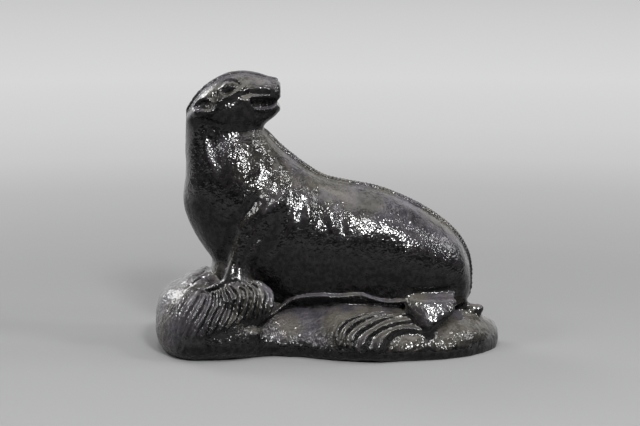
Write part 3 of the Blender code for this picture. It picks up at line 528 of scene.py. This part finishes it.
def limb(name, stations, side=1):
    """A limb through stations of x, y, z and radius. side is 1 as they are given, -1 for the mirror image."""
    rows = smooth_rows(stations)
    rows[:, 1] *= side
    return tube(name, rows[:, :3], rows[:, 3])


def ball(name, centre, radii):
    mesh = bpy.data.meshes.new(name)
    form = bmesh.new()
    bmesh.ops.create_uvsphere(form, u_segments=24, v_segments=16, radius=MM)
    form.transform(Matrix.Diagonal((*radii, 1)))
    bmesh.ops.translate(form, verts=form.verts, vec=Vector(centre) * MM)
    form.to_mesh(mesh)
    form.free()
    return new_object(name, mesh)


def applied(solid):
    """The object with its modifiers turned into plain mesh."""
    graph = bpy.context.evaluated_depsgraph_get()
    mesh = bpy.data.meshes.new_from_object(solid.evaluated_get(graph))
    solid.modifiers.clear()
    solid.data = mesh
    return solid


def fuse(name, pieces, voxel, rounds):
    """One solid from overlapping pieces: a voxel remesh joins them and smoothing rounds the joins."""
    whole = bmesh.new()
    for piece in pieces:
        whole.from_mesh(piece.data)
        bpy.data.objects.remove(piece)
    mesh = bpy.data.meshes.new(name)
    whole.to_mesh(mesh)
    whole.free()
    solid = new_object(name, mesh)
    remesh = solid.modifiers.new("one_solid", "REMESH")
    remesh.mode = "VOXEL"
    remesh.voxel_size = voxel * MM
    soften = solid.modifiers.new("soften", "SMOOTH")
    soften.factor = 0.5
    soften.iterations = rounds
    return applied(solid)


class Hide:
    """The skin of the fused forms, on which flippers, folds and lids are laid. Its points are in mm."""

    def __init__(self, solid):
        form = bmesh.new()
        form.from_mesh(solid.data)
        self.tree = BVHTree.FromBMesh(form)
        form.free()

    def lay(self, starts, direction):
        """Points and normals where lines from `starts` along `direction` first meet the skin."""
        points = []
        normals = []
        for start in starts:
            hit, normal, _, _ = self.tree.ray_cast(Vector(start) * MM, Vector(direction))
            if hit is not None:
                points.append(hit / MM)
                normals.append(normal)
        return np.array(points), np.array(normals)

    def from_side(self, pairs, side):
        """x, z pairs laid from the near side (1) or the far side (-1)."""
        return self.lay([(x, -side * OUTSIDE, z) for x, z in pairs], (0, side, 0))

    def from_front(self, pairs):
        """y, z pairs laid from the front of the snout."""
        return self.lay([(OUTSIDE, y, z) for y, z in pairs], (-1, 0, 0))

    def nearest(self, places):
        """The skin's nearest point to each of `places`, and its normal there."""
        points = []
        normals = []
        for place in places:
            hit, normal, _, _ = self.tree.find_nearest(Vector(place) * MM)
            points.append(hit / MM)
            normals.append(normal)
        return np.array(points), np.array(normals)


def between(paths, count):
    """`count` paths spaced evenly across the given ones, each with as many points."""
    given = np.array(paths, float)
    shape = given.shape[1:]
    fine = smooth_rows(given.reshape(len(given), -1), STEPS_BETWEEN_GROOVES)
    places = np.linspace(0, len(fine) - 1, count).round().astype(int)
    return [fine[place].reshape(shape) for place in places]


def flipper(hide, name, grooves, rays, section, depth, fold=0.0, side=1):
    """A pleated sheet laid on the nearest skin: its outer face, and an inner face sunk under the skin."""
    shares, thicknesses, growths = zip(*section)
    columns = between(grooves, COLUMNS_IN_A_RAY * rays + 1)
    outer = []
    inner = []
    for column, turn in zip(columns, np.linspace(0, rays, len(columns))):
        crest = np.sin(np.pi * turn) ** 2
        swell = np.sin(np.pi * turn / 2) ** 2
        places = smooth_rows(column, STEPS_IN_A_RAY) * (1, side, 1)
        points, normals = hide.nearest(places)
        along = np.linspace(0, 1 - GROOVE_SHORTER * (1 - crest), len(points))
        points = np.array([np.interp(along, np.linspace(0, 1, len(points)), axis) for axis in points.T]).T
        height = np.interp(along, shares, thicknesses)
        height += np.interp(along, shares, growths) * (depth * crest + fold * swell)
        outer.append(points + normals * height[:, None])
        inner.append(points - normals * FLIPPER_ROOT_DEPTH)
    rings = np.array(outer + inner[::-1]).transpose(1, 0, 2)
    return skin(name, rings)


def near_fore_flipper(hide):
    return flipper(hide, "near_fore_flipper", FORE_GROOVES, FORE_RAYS, FORE_SECTION, FORE_DEPTH)


def far_fore_flipper(hide):
    return flipper(
        hide,
        "far_fore_flipper",
        FAR_FORE_GROOVES,
        FAR_FORE_RAYS,
        FAR_FORE_SECTION,
        FAR_FORE_DEPTH,
        fold=FAR_FORE_FOLD,
    )


def hind_flipper(hide, side):
    return flipper(hide, "hind_flipper", HIND_GROOVES, HIND_RAYS, HIND_SECTION, HIND_DEPTH, side=side)


def ridge(name, path, girths):
    """A thin raised line through x, z points on y = 0, with its girth given at even steps along it."""
    along = np.linspace(0, 1, len(path))
    radii = SEAM_RADIUS * np.interp(along, np.linspace(0, 1, len(girths)), girths)
    return tube(name, [(x, 0.0, z) for x, z in path], radii)


def seam():
    """The parting line: up the rump and along the back to the throat, and up the nape and over the crown."""
    trunk = smooth_rows(TRUNK_STATIONS)
    head = smooth_rows(HEAD_STATIONS)
    rump = trunk[STEPS_BETWEEN_STATIONS::-1, 2:4]
    back = np.vstack([rump, trunk[: -2 * STEPS_BETWEEN_STATIONS, :2]]) + (0, ROCK_TOP + SEAM_PROUD)
    nape = trunk[-4 * STEPS_BETWEEN_STATIONS : -1, 2:4] + (SEAM_RADIUS - SEAM_PROUD, ROCK_TOP)
    crown = head[2:-3, :2] + (HEAD_X, NECK_TOP + SEAM_PROUD)
    return [
        ridge("seam_back", back, SEAM_BACK_GIRTHS),
        ridge("seam_crown", np.vstack([nape, crown]), SEAM_CROWN_GIRTHS),
    ]


def corners(solid):
    """The solid's vertices, in millimetres."""
    found = np.empty(len(solid.data.vertices) * 3)
    solid.data.vertices.foreach_get("co", found)
    return found.reshape(-1, 3) / MM


def move_corners(solid, points):
    solid.data.vertices.foreach_set("co", (points * MM).ravel())
    solid.data.update()


def press(points, path, normals, half_width, depth, steepness=1.0):
    """One stroke pressed into the points near its path, or raised from the skin if its depth is negative."""
    inward = -normals - STROKE_LEAN * normals.mean(axis=0)
    inward /= np.linalg.norm(inward, axis=1)[:, None]
    run = np.concatenate([[0], np.cumsum(np.linalg.norm(np.diff(path, axis=0), axis=1))])
    to_end = np.minimum(run, run[-1] - run)
    ease = np.ones(len(run))
    if run[-1] >= half_width:
        ease = np.minimum(1, to_end / (STROKE_FADE * half_width) + STROKE_END_SHARE)
    reach = STROKE_REACH * half_width
    low = path.min(axis=0) - reach
    high = path.max(axis=0) + reach
    near = np.flatnonzero(((points > low) & (points < high)).all(axis=1))
    gaps = np.linalg.norm(points[near, None] - path[None], axis=2)
    shape = steepness * np.clip(1 - (gaps / reach) ** 2, 0, None) ** 2
    pushes = ease * np.minimum(1, shape)
    strongest = pushes.argmax(axis=1)
    points[near] += depth * pushes.max(axis=1)[:, None] * inward[strongest]


def press_all(points, hide, strokes, origin, steepness=1.0):
    """Every stroke of a table, on both sides."""
    for half_width, depth, pairs in strokes.values():
        for side in (1, -1):
            path, normals = hide.from_side(smooth_rows(np.array(pairs) + origin, STEPS_IN_A_STROKE), side)
            press(points, path, normals, half_width, depth, steepness)


def press_mouth(points, hide):
    """The mouth's opening on both sides, and the gap between them."""
    half_width, depth, pairs = MOUTH
    trail = smooth_rows(np.array(pairs) + (HEAD_X, NECK_TOP), STEPS_IN_A_STROKE)
    for side in (1, -1):
        path, normals = hide.from_side(trail, side)
        press(points, path, normals * (1, 1, 0) + (0, 0, MOUTH_FALL), half_width, depth, MOUTH_STEEPNESS)
    half_width, depth, pairs = MOUTH_GAP
    path, normals = hide.from_front(smooth_rows(np.array(pairs) + (0, NECK_TOP), STEPS_IN_A_STROKE))
    press(points, path, normals, half_width, depth, PIT_STEEPNESS)


def soften(solid, low, high):
    """The skin smoothed between two corners of a box."""
    form = bmesh.new()
    form.from_mesh(solid.data)
    low = Vector(low) * MM
    high = Vector(high) * MM
    chosen = [corner for corner in form.verts if all(a < b < c for a, b, c in zip(low, corner.co, high))]
    for _ in range(SOFTEN_ROUNDS):
        bmesh.ops.smooth_vert(
            form, verts=chosen, factor=0.5, use_axis_x=True, use_axis_y=True, use_axis_z=True
        )
    form.to_mesh(solid.data)
    form.free()


def model_surface(solid, hide):
    """Eyes, mouth, folds and creases."""
    points = corners(solid)
    press_all(points, hide, HEAD_STROKES, (HEAD_X, NECK_TOP))
    press_all(points, hide, HEAD_PITS, (HEAD_X, NECK_TOP), PIT_STEEPNESS)
    press_all(points, hide, TRUNK_STROKES, (0, ROCK_TOP))
    for half_width, depth, pairs in SLOTS.values():
        path, normals = hide.from_side(smooth_rows(np.array(pairs) + (0, ROCK_TOP), STEPS_IN_A_STROKE), 1)
        press(points, path + SLOT_LIFT * normals, normals, half_width, depth, PIT_STEEPNESS)
    press_mouth(points, hide)
    move_corners(solid, points)
    soften(solid, *MOUTH_BOX)


def make_casting():
    """The whole casting, still standing a little below the floor."""
    forms = [make_trunk(), make_head(), make_rock()]
    forms += [ball("palm", PALM_CENTRE, PALM_RADII), ball("stone", STONE_CENTRE, STONE_RADII)]
    forms += [limb("near_arm", NEAR_ARM), limb("far_arm", FAR_ARM, -1), limb("tail", TAIL)]
    forms += [make_heel(1), make_heel(-1), ball("brisket", BRISKET_CENTRE, BRISKET_RADII)]
    forms += [ball("instep", INSTEP_CENTRE, INSTEP_RADII), ball("instep", FAR_INSTEP_CENTRE, INSTEP_RADII)]
    body = fuse("body", forms, FORM_VOXEL, FORM_SMOOTHING)
    hide = Hide(body)
    details = [body, *seam(), near_fore_flipper(hide), far_fore_flipper(hide)]
    for side in (1, -1):
        details += [hind_flipper(hide, side), make_hem(side)]
    casting = fuse("seal_figurine", details, DETAIL_VOXEL, DETAIL_SMOOTHING)
    model_surface(casting, hide)
    return casting


def thin_out(solid, triangles):
    """Fewer triangles, kept closest together where the surface turns most."""
    solid.data.calc_loop_triangles()
    thin = solid.modifiers.new("thin_out", "DECIMATE")
    thin.ratio = triangles / len(solid.data.loop_triangles)
    thin.use_collapse_triangulate = True
    return applied(solid)


def cut_flat(solid):
    """The underside cut off at the floor and closed by one flat face."""
    form = bmesh.new()
    form.from_mesh(solid.data)
    everything = form.verts[:] + form.edges[:] + form.faces[:]
    bmesh.ops.bisect_plane(
        form, geom=everything, dist=ON_FLOOR * MM, plane_co=(0, 0, 0), plane_no=(0, 0, 1), clear_inner=True
    )
    rim = [edge for edge in form.edges if edge.is_boundary]
    bmesh.ops.holes_fill(form, edges=rim)
    bmesh.ops.recalc_face_normals(form, faces=form.faces)
    form.to_mesh(solid.data)
    form.free()
    solid.data.shade_smooth()
    solid.data.set_sharp_from_angle(angle=SHARP_ANGLE)


# The cast skin: relief in millimetres, and the distances over which it changes
SKIN_RELIEF = 0.05
SKIN_PITCH = 2.6
SKIN_FINE_PITCH = 1.1
SKIN_FINE_SHARE = 0.6  # of the fine relief, against the broad one
ROCK_RELIEF = 0.1  # added to that on the rock
NOTCH_DEPTH = 0.09  # the file marks across the seam
NOTCH_PITCH = 1.3
NOTCHED_FROM = -14.0  # the throat; over the crown and nape the seam is smooth
SKIN_CHANGE = 16.0  # the height above which only the animal's skin is left
SKIN_CHANGE_SPAN = 8.0

# The enamel. A grain's scale is how many grains there are in a metre.
BLACK = (0.001, 0.001, 0.0012)
BROWN_BLACK = (0.0135, 0.012, 0.0118)
# The mauve and olive below are dust together with a painted sheen: a lighter colour on faces that look up or
# left, standing in for reflected light.
DUST_AND_SHEEN_MAUVE = (0.124, 0.113, 0.132)
DUST_AND_SHEEN_OLIVE = (0.132, 0.121, 0.103)
DUST_AND_SHEEN_DULLING = 0.16  # added to the roughness under full dust and painted sheen
LEFT_END_DUST_AND_SHEEN = 0.85  # dust and painted sheen on the rock's left end, where it doesn't look up
ENAMEL_IOR = 1.34
COAT_ROUGHNESS = 0.06
PIT_DEPTH = 0.00024
PIT_GRAINS = [(1700, 0.25), (850, 1.0), (380, 1.0)]  # scale and weight
ROCK_PITS = (-0.35, 1.15)  # added to the pits' depth at the rock's right end, and the gain on its left part

# Where the enamel changes: from the first value to the second, a share grows from 0 to 1. The first two are
# of how far the skin faces that way, where 1 is straight, and the rest are places.
# The spans among these that lay dust also lay a painted sheen: a lighter colour standing in for reflected
# light on the rock, its left end and faces that look left.
DUST_AND_SHEEN_LEFTWARD = (-0.6, -0.92)  # along X
COATED_UPWARD = (-0.1, 0.25)  # along Z
DUST_AND_SHEEN_LEFT_END = (-0.034, -0.046)  # x
DUST_AND_SHEEN_ABOVE_FOOT = (0.004, 0.01)  # z
DUST_AND_SHEEN_ROCK = (0.024, 0.018)  # z
PITTED_ROCK = (0.018, 0.012)  # z
PITTED_LEFT = (0.022, 0.0)  # x

# The paper of the floor and the backdrop: grey by distance from the figurine. On the floor, beyond the reach
# of shading, the grey is painted light: a glow that is lighter in the middle distance and darker far off.
PAPER_BLUE = 1.004  # its blue, as a share of its grey
FLOOR_GREYS_AND_PAINTED_LIGHT = [
    (0.0, 0.405),
    (0.12, 0.408),
    (0.2, 0.423),
    (0.22, 0.43),
    (0.33, 0.49),
    (0.43, 0.58),
    (0.55, 0.63),
    (0.8, 0.68),
    (1.5, 0.59),
]
FLOOR_REACH = (0.12, 0.2)  # between these distances, shading gives way to the grey painted as a glow
BACKDROP_GREYS = [(0.0, 0.66), (3.0, 0.6)]
BACKDROP_REACH = (0.0, 0.01)
STAGE_WIDTH = 6.0
BACKDROP_HEIGHT = 2.0
BACKDROP_Y = 1.8

# The lights: azimuth from the camera, positive to the right, and elevation, both in degrees, then distance,
# width and brightness
LIGHTS = {
    "overhead": (0, 94, 1.0, 1.0, 1.05),
    "front_fill": (12, 36, 0.8, 0.42, 1.0),
    "key": (13, 32, 0.85, 0.11, 85),
    "high_key": (-6, 44, 0.85, 0.07, 80),
    "side_key": (66, 46, 0.85, 0.09, 32),
    "low_side_key": (60, 25, 0.85, 0.08, 36),
    "left_box": (-52, 37, 0.8, 0.2, 8.0),
    "right_box": (95, 30, 0.8, 0.24, 4.0),
    "back_left_box": (-134, 31, 0.8, 0.3, 4.8),
}
LIGHT_AIM = Vector((0, 0, 0.04))
ROOM_TINT = (0.97, 1.0, 1.03)
ROOM_STRENGTH = 0.06

# The camera
CAMERA_ELEVATION = math.radians(9)
CAMERA_DISTANCE = 0.7
CAMERA_TARGET = Vector((-0.002, 0, 0.0403))
PHOTO_WIDTH = 640  # in pixels
PIXELS_IN_A_MM = 3.4  # at the camera's target
SENSOR_WIDTH = 36  # in millimetres


def node(tree, kind, **values):
    """A new shader node with its properties and, for names that are inputs, their values set."""
    made = tree.nodes.new(kind)
    for name, value in values.items():
        if name in made.inputs:
            made.inputs[name].default_value = value
        else:
            setattr(made, name, value)
    return made


def roughen(solid):
    """The slightly uneven skin of sand-cast iron, rougher on the rock than on the animal."""
    points = corners(solid)
    normals = np.empty(points.size)
    solid.data.vertices.foreach_get("normal", normals)
    on_rock = np.clip((SKIN_CHANGE - points[:, 2]) / SKIN_CHANGE_SPAN, 0, 1)
    broad = np.array([noise.noise(Vector(point) / SKIN_PITCH) for point in points])
    fine = np.array([noise.noise(Vector(point) / SKIN_FINE_PITCH) for point in points])
    heights = SKIN_RELIEF * (broad + SKIN_FINE_SHARE * fine) + ROCK_RELIEF * on_rock * fine
    on_seam = (np.abs(points[:, 1]) < SEAM_RADIUS) & (points[:, 2] > SKIN_CHANGE)
    on_seam &= points[:, 0] > NOTCHED_FROM
    heights += on_seam * NOTCH_DEPTH * np.cos(2 * np.pi * (points[:, 0] - points[:, 2]) / NOTCH_PITCH)
    move_corners(solid, points + normals.reshape(-1, 3) * heights[:, None])


def link_or_set(tree, socket, value):
    """A socket driven by another node's output, or set to a number or an RGB colour."""
    if isinstance(value, (int, float)):
        socket.default_value = value
    elif isinstance(value, tuple):
        socket.default_value = (*value, 1)
    else:
        tree.links.new(value, socket)


class Recipe:
    """Short names for the shader nodes that the materials share."""

    def __init__(self, name):
        self.material = bpy.data.materials.new(name)
        self.material.use_nodes = True
        self.tree = self.material.node_tree
        self.shader = self.tree.nodes["Principled BSDF"]
        self.place = node(self.tree, "ShaderNodeTexCoord").outputs["Object"]
        split = node(self.tree, "ShaderNodeSeparateXYZ")
        self.tree.links.new(self.place, split.inputs[0])
        self.axes = split.outputs

    def grain(self, scale, detail=3.0, roughness=0.55):
        made = node(self.tree, "ShaderNodeTexNoise", Scale=scale, Detail=detail, Roughness=roughness)
        self.tree.links.new(self.place, made.inputs["Vector"])
        return made.outputs["Fac"]

    def ramp(self, source, *stops):
        """A colour ramp with stops of position and grey, or position and RGB colour."""
        made = node(self.tree, "ShaderNodeValToRGB")
        colours = made.color_ramp.elements
        while len(colours) < len(stops):
            colours.new(0.5)
        for element, (position, colour) in zip(colours, stops):
            element.position = position
            element.color = (*colour, 1) if isinstance(colour, tuple) else (colour, colour, colour, 1)
        self.tree.links.new(source, made.inputs["Fac"])
        return made.outputs["Color"]

    def span(self, source, low, high):
        """The source from low to high turned into 0 to 1."""
        made = node(self.tree, "ShaderNodeMapRange")
        made.inputs["From Min"].default_value = low
        made.inputs["From Max"].default_value = high
        self.tree.links.new(source, made.inputs["Value"])
        return made.outputs["Result"]

    def maths(self, operation, one, other):
        made = node(self.tree, "ShaderNodeMath", operation=operation)
        link_or_set(self.tree, made.inputs[0], one)
        link_or_set(self.tree, made.inputs[1], other)
        return made.outputs[0]

    def mix(self, factor, one, other):
        made = node(self.tree, "ShaderNodeMix", data_type="RGBA")
        link_or_set(self.tree, made.inputs["Factor"], factor)
        link_or_set(self.tree, made.inputs[6], one)
        link_or_set(self.tree, made.inputs[7], other)
        return made.outputs[2]


def ways_it_faces(recipe):
    """How far the skin faces along X, Y and Z."""
    normal = node(recipe.tree, "ShaderNodeNewGeometry").outputs["Normal"]
    split = node(recipe.tree, "ShaderNodeSeparateXYZ")
    recipe.tree.links.new(normal, split.inputs[0])
    return split.outputs


def dust_and_sheen_share(recipe, facing):
    """How thickly dust and a painted sheen lie: in patches on faces that look up, over the rock, and on faces
    that look left.
    """
    # Faces that look up: dust, with a painted sheen for the overhead light they reflect.
    upward = recipe.ramp(facing["Z"], (0.15, 0.0), (0.45, 0.4), (0.8, 1.0))
    patches = recipe.ramp(recipe.grain(160, 6, 0.6), (0.36, 0.2), (0.6, 1.0))
    dust_and_sheen_on_top = recipe.maths("MULTIPLY", upward, patches)

    # The rock's tilted faces and its left end: dust, with a painted sheen for the light they reflect.
    left_end = recipe.span(recipe.axes["X"], *DUST_AND_SHEEN_LEFT_END)
    left_end = recipe.maths("MULTIPLY", left_end, recipe.span(recipe.axes["Z"], *DUST_AND_SHEEN_ABOVE_FOOT))
    tilted = recipe.ramp(facing["Z"], (0.15, 0.0), (0.45, 0.45), (0.75, 0.9))
    exposed = recipe.maths("MAXIMUM", tilted, recipe.maths("MULTIPLY", left_end, LEFT_END_DUST_AND_SHEEN))
    exposed_rock = recipe.maths("MULTIPLY", exposed, recipe.span(recipe.axes["Z"], *DUST_AND_SHEEN_ROCK))
    rock_patches = recipe.ramp(recipe.grain(240, 5, 0.6), (0.3, 0.4), (0.6, 1.0))
    on_rock = recipe.maths("MULTIPLY", exposed_rock, rock_patches)

    # Faces that look left: a painted sheen for the light they reflect from behind on the left, with dust.
    leftward = recipe.span(facing["X"], *DUST_AND_SHEEN_LEFTWARD)
    left_patches = recipe.ramp(recipe.grain(90, 5, 0.6), (0.4, 0.15), (0.6, 0.8))
    on_left = recipe.maths("MULTIPLY", leftward, left_patches)
    return recipe.maths("MAXIMUM", recipe.maths("MAXIMUM", dust_and_sheen_on_top, on_rock), on_left)


def enamel_colour(recipe, dust_and_sheen):
    """Mottled black under dust and a painted sheen, mauve in some patches and olive in others."""
    tint = recipe.ramp(recipe.grain(70, 2), (0.42, DUST_AND_SHEEN_MAUVE), (0.58, DUST_AND_SHEEN_OLIVE))
    mottle = recipe.ramp(recipe.grain(650, 4, 0.65), (0.4, BLACK), (0.62, BROWN_BLACK))
    return recipe.mix(dust_and_sheen, mottle, tint)


def enamel_roughness(recipe, dust_and_sheen):
    """Glossy, with slightly duller patches, and dulled under the dust and painted sheen."""
    gloss = recipe.ramp(recipe.grain(420, 2), (0.3, 0.1), (0.7, 0.22))
    return recipe.maths("ADD", gloss, recipe.maths("MULTIPLY", dust_and_sheen, DUST_AND_SHEEN_DULLING))


def pitted_normal(recipe):
    """Pits of three sizes, deeper in patches and on the rock's left part, shallower on its right end."""
    pits = 0.0
    for scale, weight in PIT_GRAINS:
        pits = recipe.maths("ADD", pits, recipe.maths("MULTIPLY", recipe.grain(scale, 1), weight))
    patchy = recipe.ramp(recipe.grain(110, 2), (0.35, 0.55), (0.62, 1.0))
    on_rock = recipe.span(recipe.axes["Z"], *PITTED_ROCK)
    at_right, gain = ROCK_PITS
    from_right = recipe.maths("MULTIPLY", recipe.span(recipe.axes["X"], *PITTED_LEFT), gain)
    rock_change = recipe.maths("MULTIPLY", on_rock, recipe.maths("ADD", from_right, at_right))
    depth = recipe.maths("ADD", patchy, rock_change)
    bump = node(recipe.tree, "ShaderNodeBump", Strength=1.0, Distance=PIT_DEPTH)
    recipe.tree.links.new(recipe.maths("MULTIPLY", pits, depth), bump.inputs["Height"])
    return bump.outputs["Normal"]


def black_enamel():
    """Gloss black enamel, pitted like the sand-cast iron under it, dusty and with a painted sheen, with a
    clear coat where the skin doesn't look down."""
    recipe = Recipe("black_enamel")
    inputs = recipe.shader.inputs
    links = recipe.tree.links
    facing = ways_it_faces(recipe)
    # Dust together with a painted sheen, a lighter colour for reflected light
    dust_and_sheen = dust_and_sheen_share(recipe, facing)
    links.new(enamel_colour(recipe, dust_and_sheen), inputs["Base Color"])
    links.new(enamel_roughness(recipe, dust_and_sheen), inputs["Roughness"])
    inputs["IOR"].default_value = ENAMEL_IOR
    links.new(recipe.span(facing["Z"], *COATED_UPWARD), inputs["Coat Weight"])
    inputs["Coat Roughness"].default_value = COAT_ROUGHNESS
    pitted = pitted_normal(recipe)
    links.new(pitted, inputs["Normal"])
    links.new(pitted, inputs["Coat Normal"])
    return recipe.material


def dress_figurine():
    """The fine casting, in enamel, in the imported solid's place."""
    casting = make_casting()
    roughen(casting)
    thin_out(casting, TRIANGLES)
    cut_flat(casting)
    casting.name = "casting"
    casting.data.materials.append(black_enamel())
    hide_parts("seal_figurine")
    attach(casting, "root")


def paper(name, stops, reach):
    """Pale paper whose grey changes with distance from the figurine, with painted light farther out.

    `stops` are distances and greys. Between the two distances of `reach`, the paper's shading gives way to
    that grey as a painted glow, as it is seen directly, in a reflection or through glass. On the floor that
    glow stands in for light falling across the paper, lighter in the middle distance and darker far off.
    """
    recipe = Recipe(name)
    tree = recipe.tree
    recipe.shader.inputs["Roughness"].default_value = 0.9
    recipe.shader.inputs["Specular IOR Level"].default_value = 0.1
    world_place = node(tree, "ShaderNodeNewGeometry").outputs["Position"]
    length = node(tree, "ShaderNodeVectorMath", operation="LENGTH")
    tree.links.new(world_place, length.inputs[0])
    distance = length.outputs["Value"]
    farthest = stops[-1][0]
    greys = [(at / farthest, (grey, grey, grey * PAPER_BLUE)) for at, grey in stops]
    colour = recipe.ramp(recipe.maths("DIVIDE", distance, farthest), *greys)
    tree.links.new(colour, recipe.shader.inputs["Base Color"])
    rays = node(tree, "ShaderNodeLightPath").outputs
    glow = node(tree, "ShaderNodeEmission", Strength=1.0)
    tree.links.new(colour, glow.inputs["Color"])
    seen = recipe.maths("MAXIMUM", rays["Is Camera Ray"], rays["Is Glossy Ray"])
    seen = recipe.maths("MAXIMUM", seen, rays["Is Transmission Ray"])
    share = recipe.maths("MULTIPLY", seen, recipe.span(distance, *reach))
    blend = node(tree, "ShaderNodeMixShader")
    tree.links.new(share, blend.inputs[0])
    tree.links.new(recipe.shader.outputs[0], blend.inputs[1])
    tree.links.new(glow.outputs[0], blend.inputs[2])
    tree.links.new(blend.outputs[0], tree.nodes["Material Output"].inputs["Surface"])
    return recipe.material


def plane(name, width, depth, place, tilt=0.0):
    """A flat sheet of the stage, tilted up about X."""
    form = bmesh.new()
    bmesh.ops.create_grid(form, x_segments=1, y_segments=1, size=0.5)
    form.transform(Matrix.Diagonal((width, depth, 1, 1)))
    mesh = bpy.data.meshes.new(name)
    form.to_mesh(mesh)
    form.free()
    sheet = new_object(name, mesh)
    sheet.location = place
    sheet.rotation_euler = (tilt, 0, 0)
    return sheet


def make_stage():
    """A plain floor and an upright backdrop behind it."""
    floor = plane("floor", STAGE_WIDTH, STAGE_WIDTH, (0, 0, 0))
    floor.data.materials.append(paper("floor_paper_and_painted_light", FLOOR_GREYS_AND_PAINTED_LIGHT, FLOOR_REACH))
    upright = math.radians(90)
    middle = (0, BACKDROP_Y, BACKDROP_HEIGHT / 2)
    backdrop = plane("backdrop", STAGE_WIDTH, BACKDROP_HEIGHT, middle, upright)
    backdrop.data.materials.append(paper("backdrop_paper", BACKDROP_GREYS, BACKDROP_REACH))


def softbox(name, azimuth, elevation, distance, size, brightness):
    """A square light aimed at the figurine."""
    turn = math.radians(azimuth)
    rise = math.radians(elevation)
    away = Vector((math.sin(turn) * math.cos(rise), -math.cos(turn) * math.cos(rise), math.sin(rise)))
    lamp = bpy.data.lights.new(name, "AREA")
    lamp.size = size
    lamp.energy = brightness * math.pi * size**2
    thing = bpy.data.objects.new(name, lamp)
    bpy.context.scene.collection.objects.link(thing)
    thing.location = LIGHT_AIM + away * distance
    thing.rotation_euler = away.to_track_quat("Z", "Y").to_euler()


def light_stage():
    """A broad light overhead, small bright ones for the highlights, large dim ones, and a faint room."""
    for name, values in LIGHTS.items():
        softbox(name, *values)
    world = bpy.data.worlds.new("room")
    world.use_nodes = True
    background = world.node_tree.nodes["Background"]
    background.inputs["Color"].default_value = (*ROOM_TINT, 1)
    background.inputs["Strength"].default_value = ROOM_STRENGTH
    bpy.context.scene.world = world


def place_camera():
    """The photograph's view: from the near side, a few degrees above level."""
    view = Vector((0, -math.cos(CAMERA_ELEVATION), math.sin(CAMERA_ELEVATION)))
    lens = bpy.data.cameras.new("camera")
    lens.sensor_width = SENSOR_WIDTH
    lens.lens = SENSOR_WIDTH * CAMERA_DISTANCE / (PHOTO_WIDTH / PIXELS_IN_A_MM * MM)
    lens.clip_start = 0.01
    eye = bpy.data.objects.new("camera", lens)
    bpy.context.scene.collection.objects.link(eye)
    eye.location = CAMERA_TARGET + view * CAMERA_DISTANCE
    eye.rotation_euler = (-view).to_track_quat("-Z", "Y").to_euler()
    bpy.context.scene.camera = eye


dress_figurine()
make_stage()
light_stage()
place_camera()
bpy.context.scene.view_settings.view_transform = "Standard"
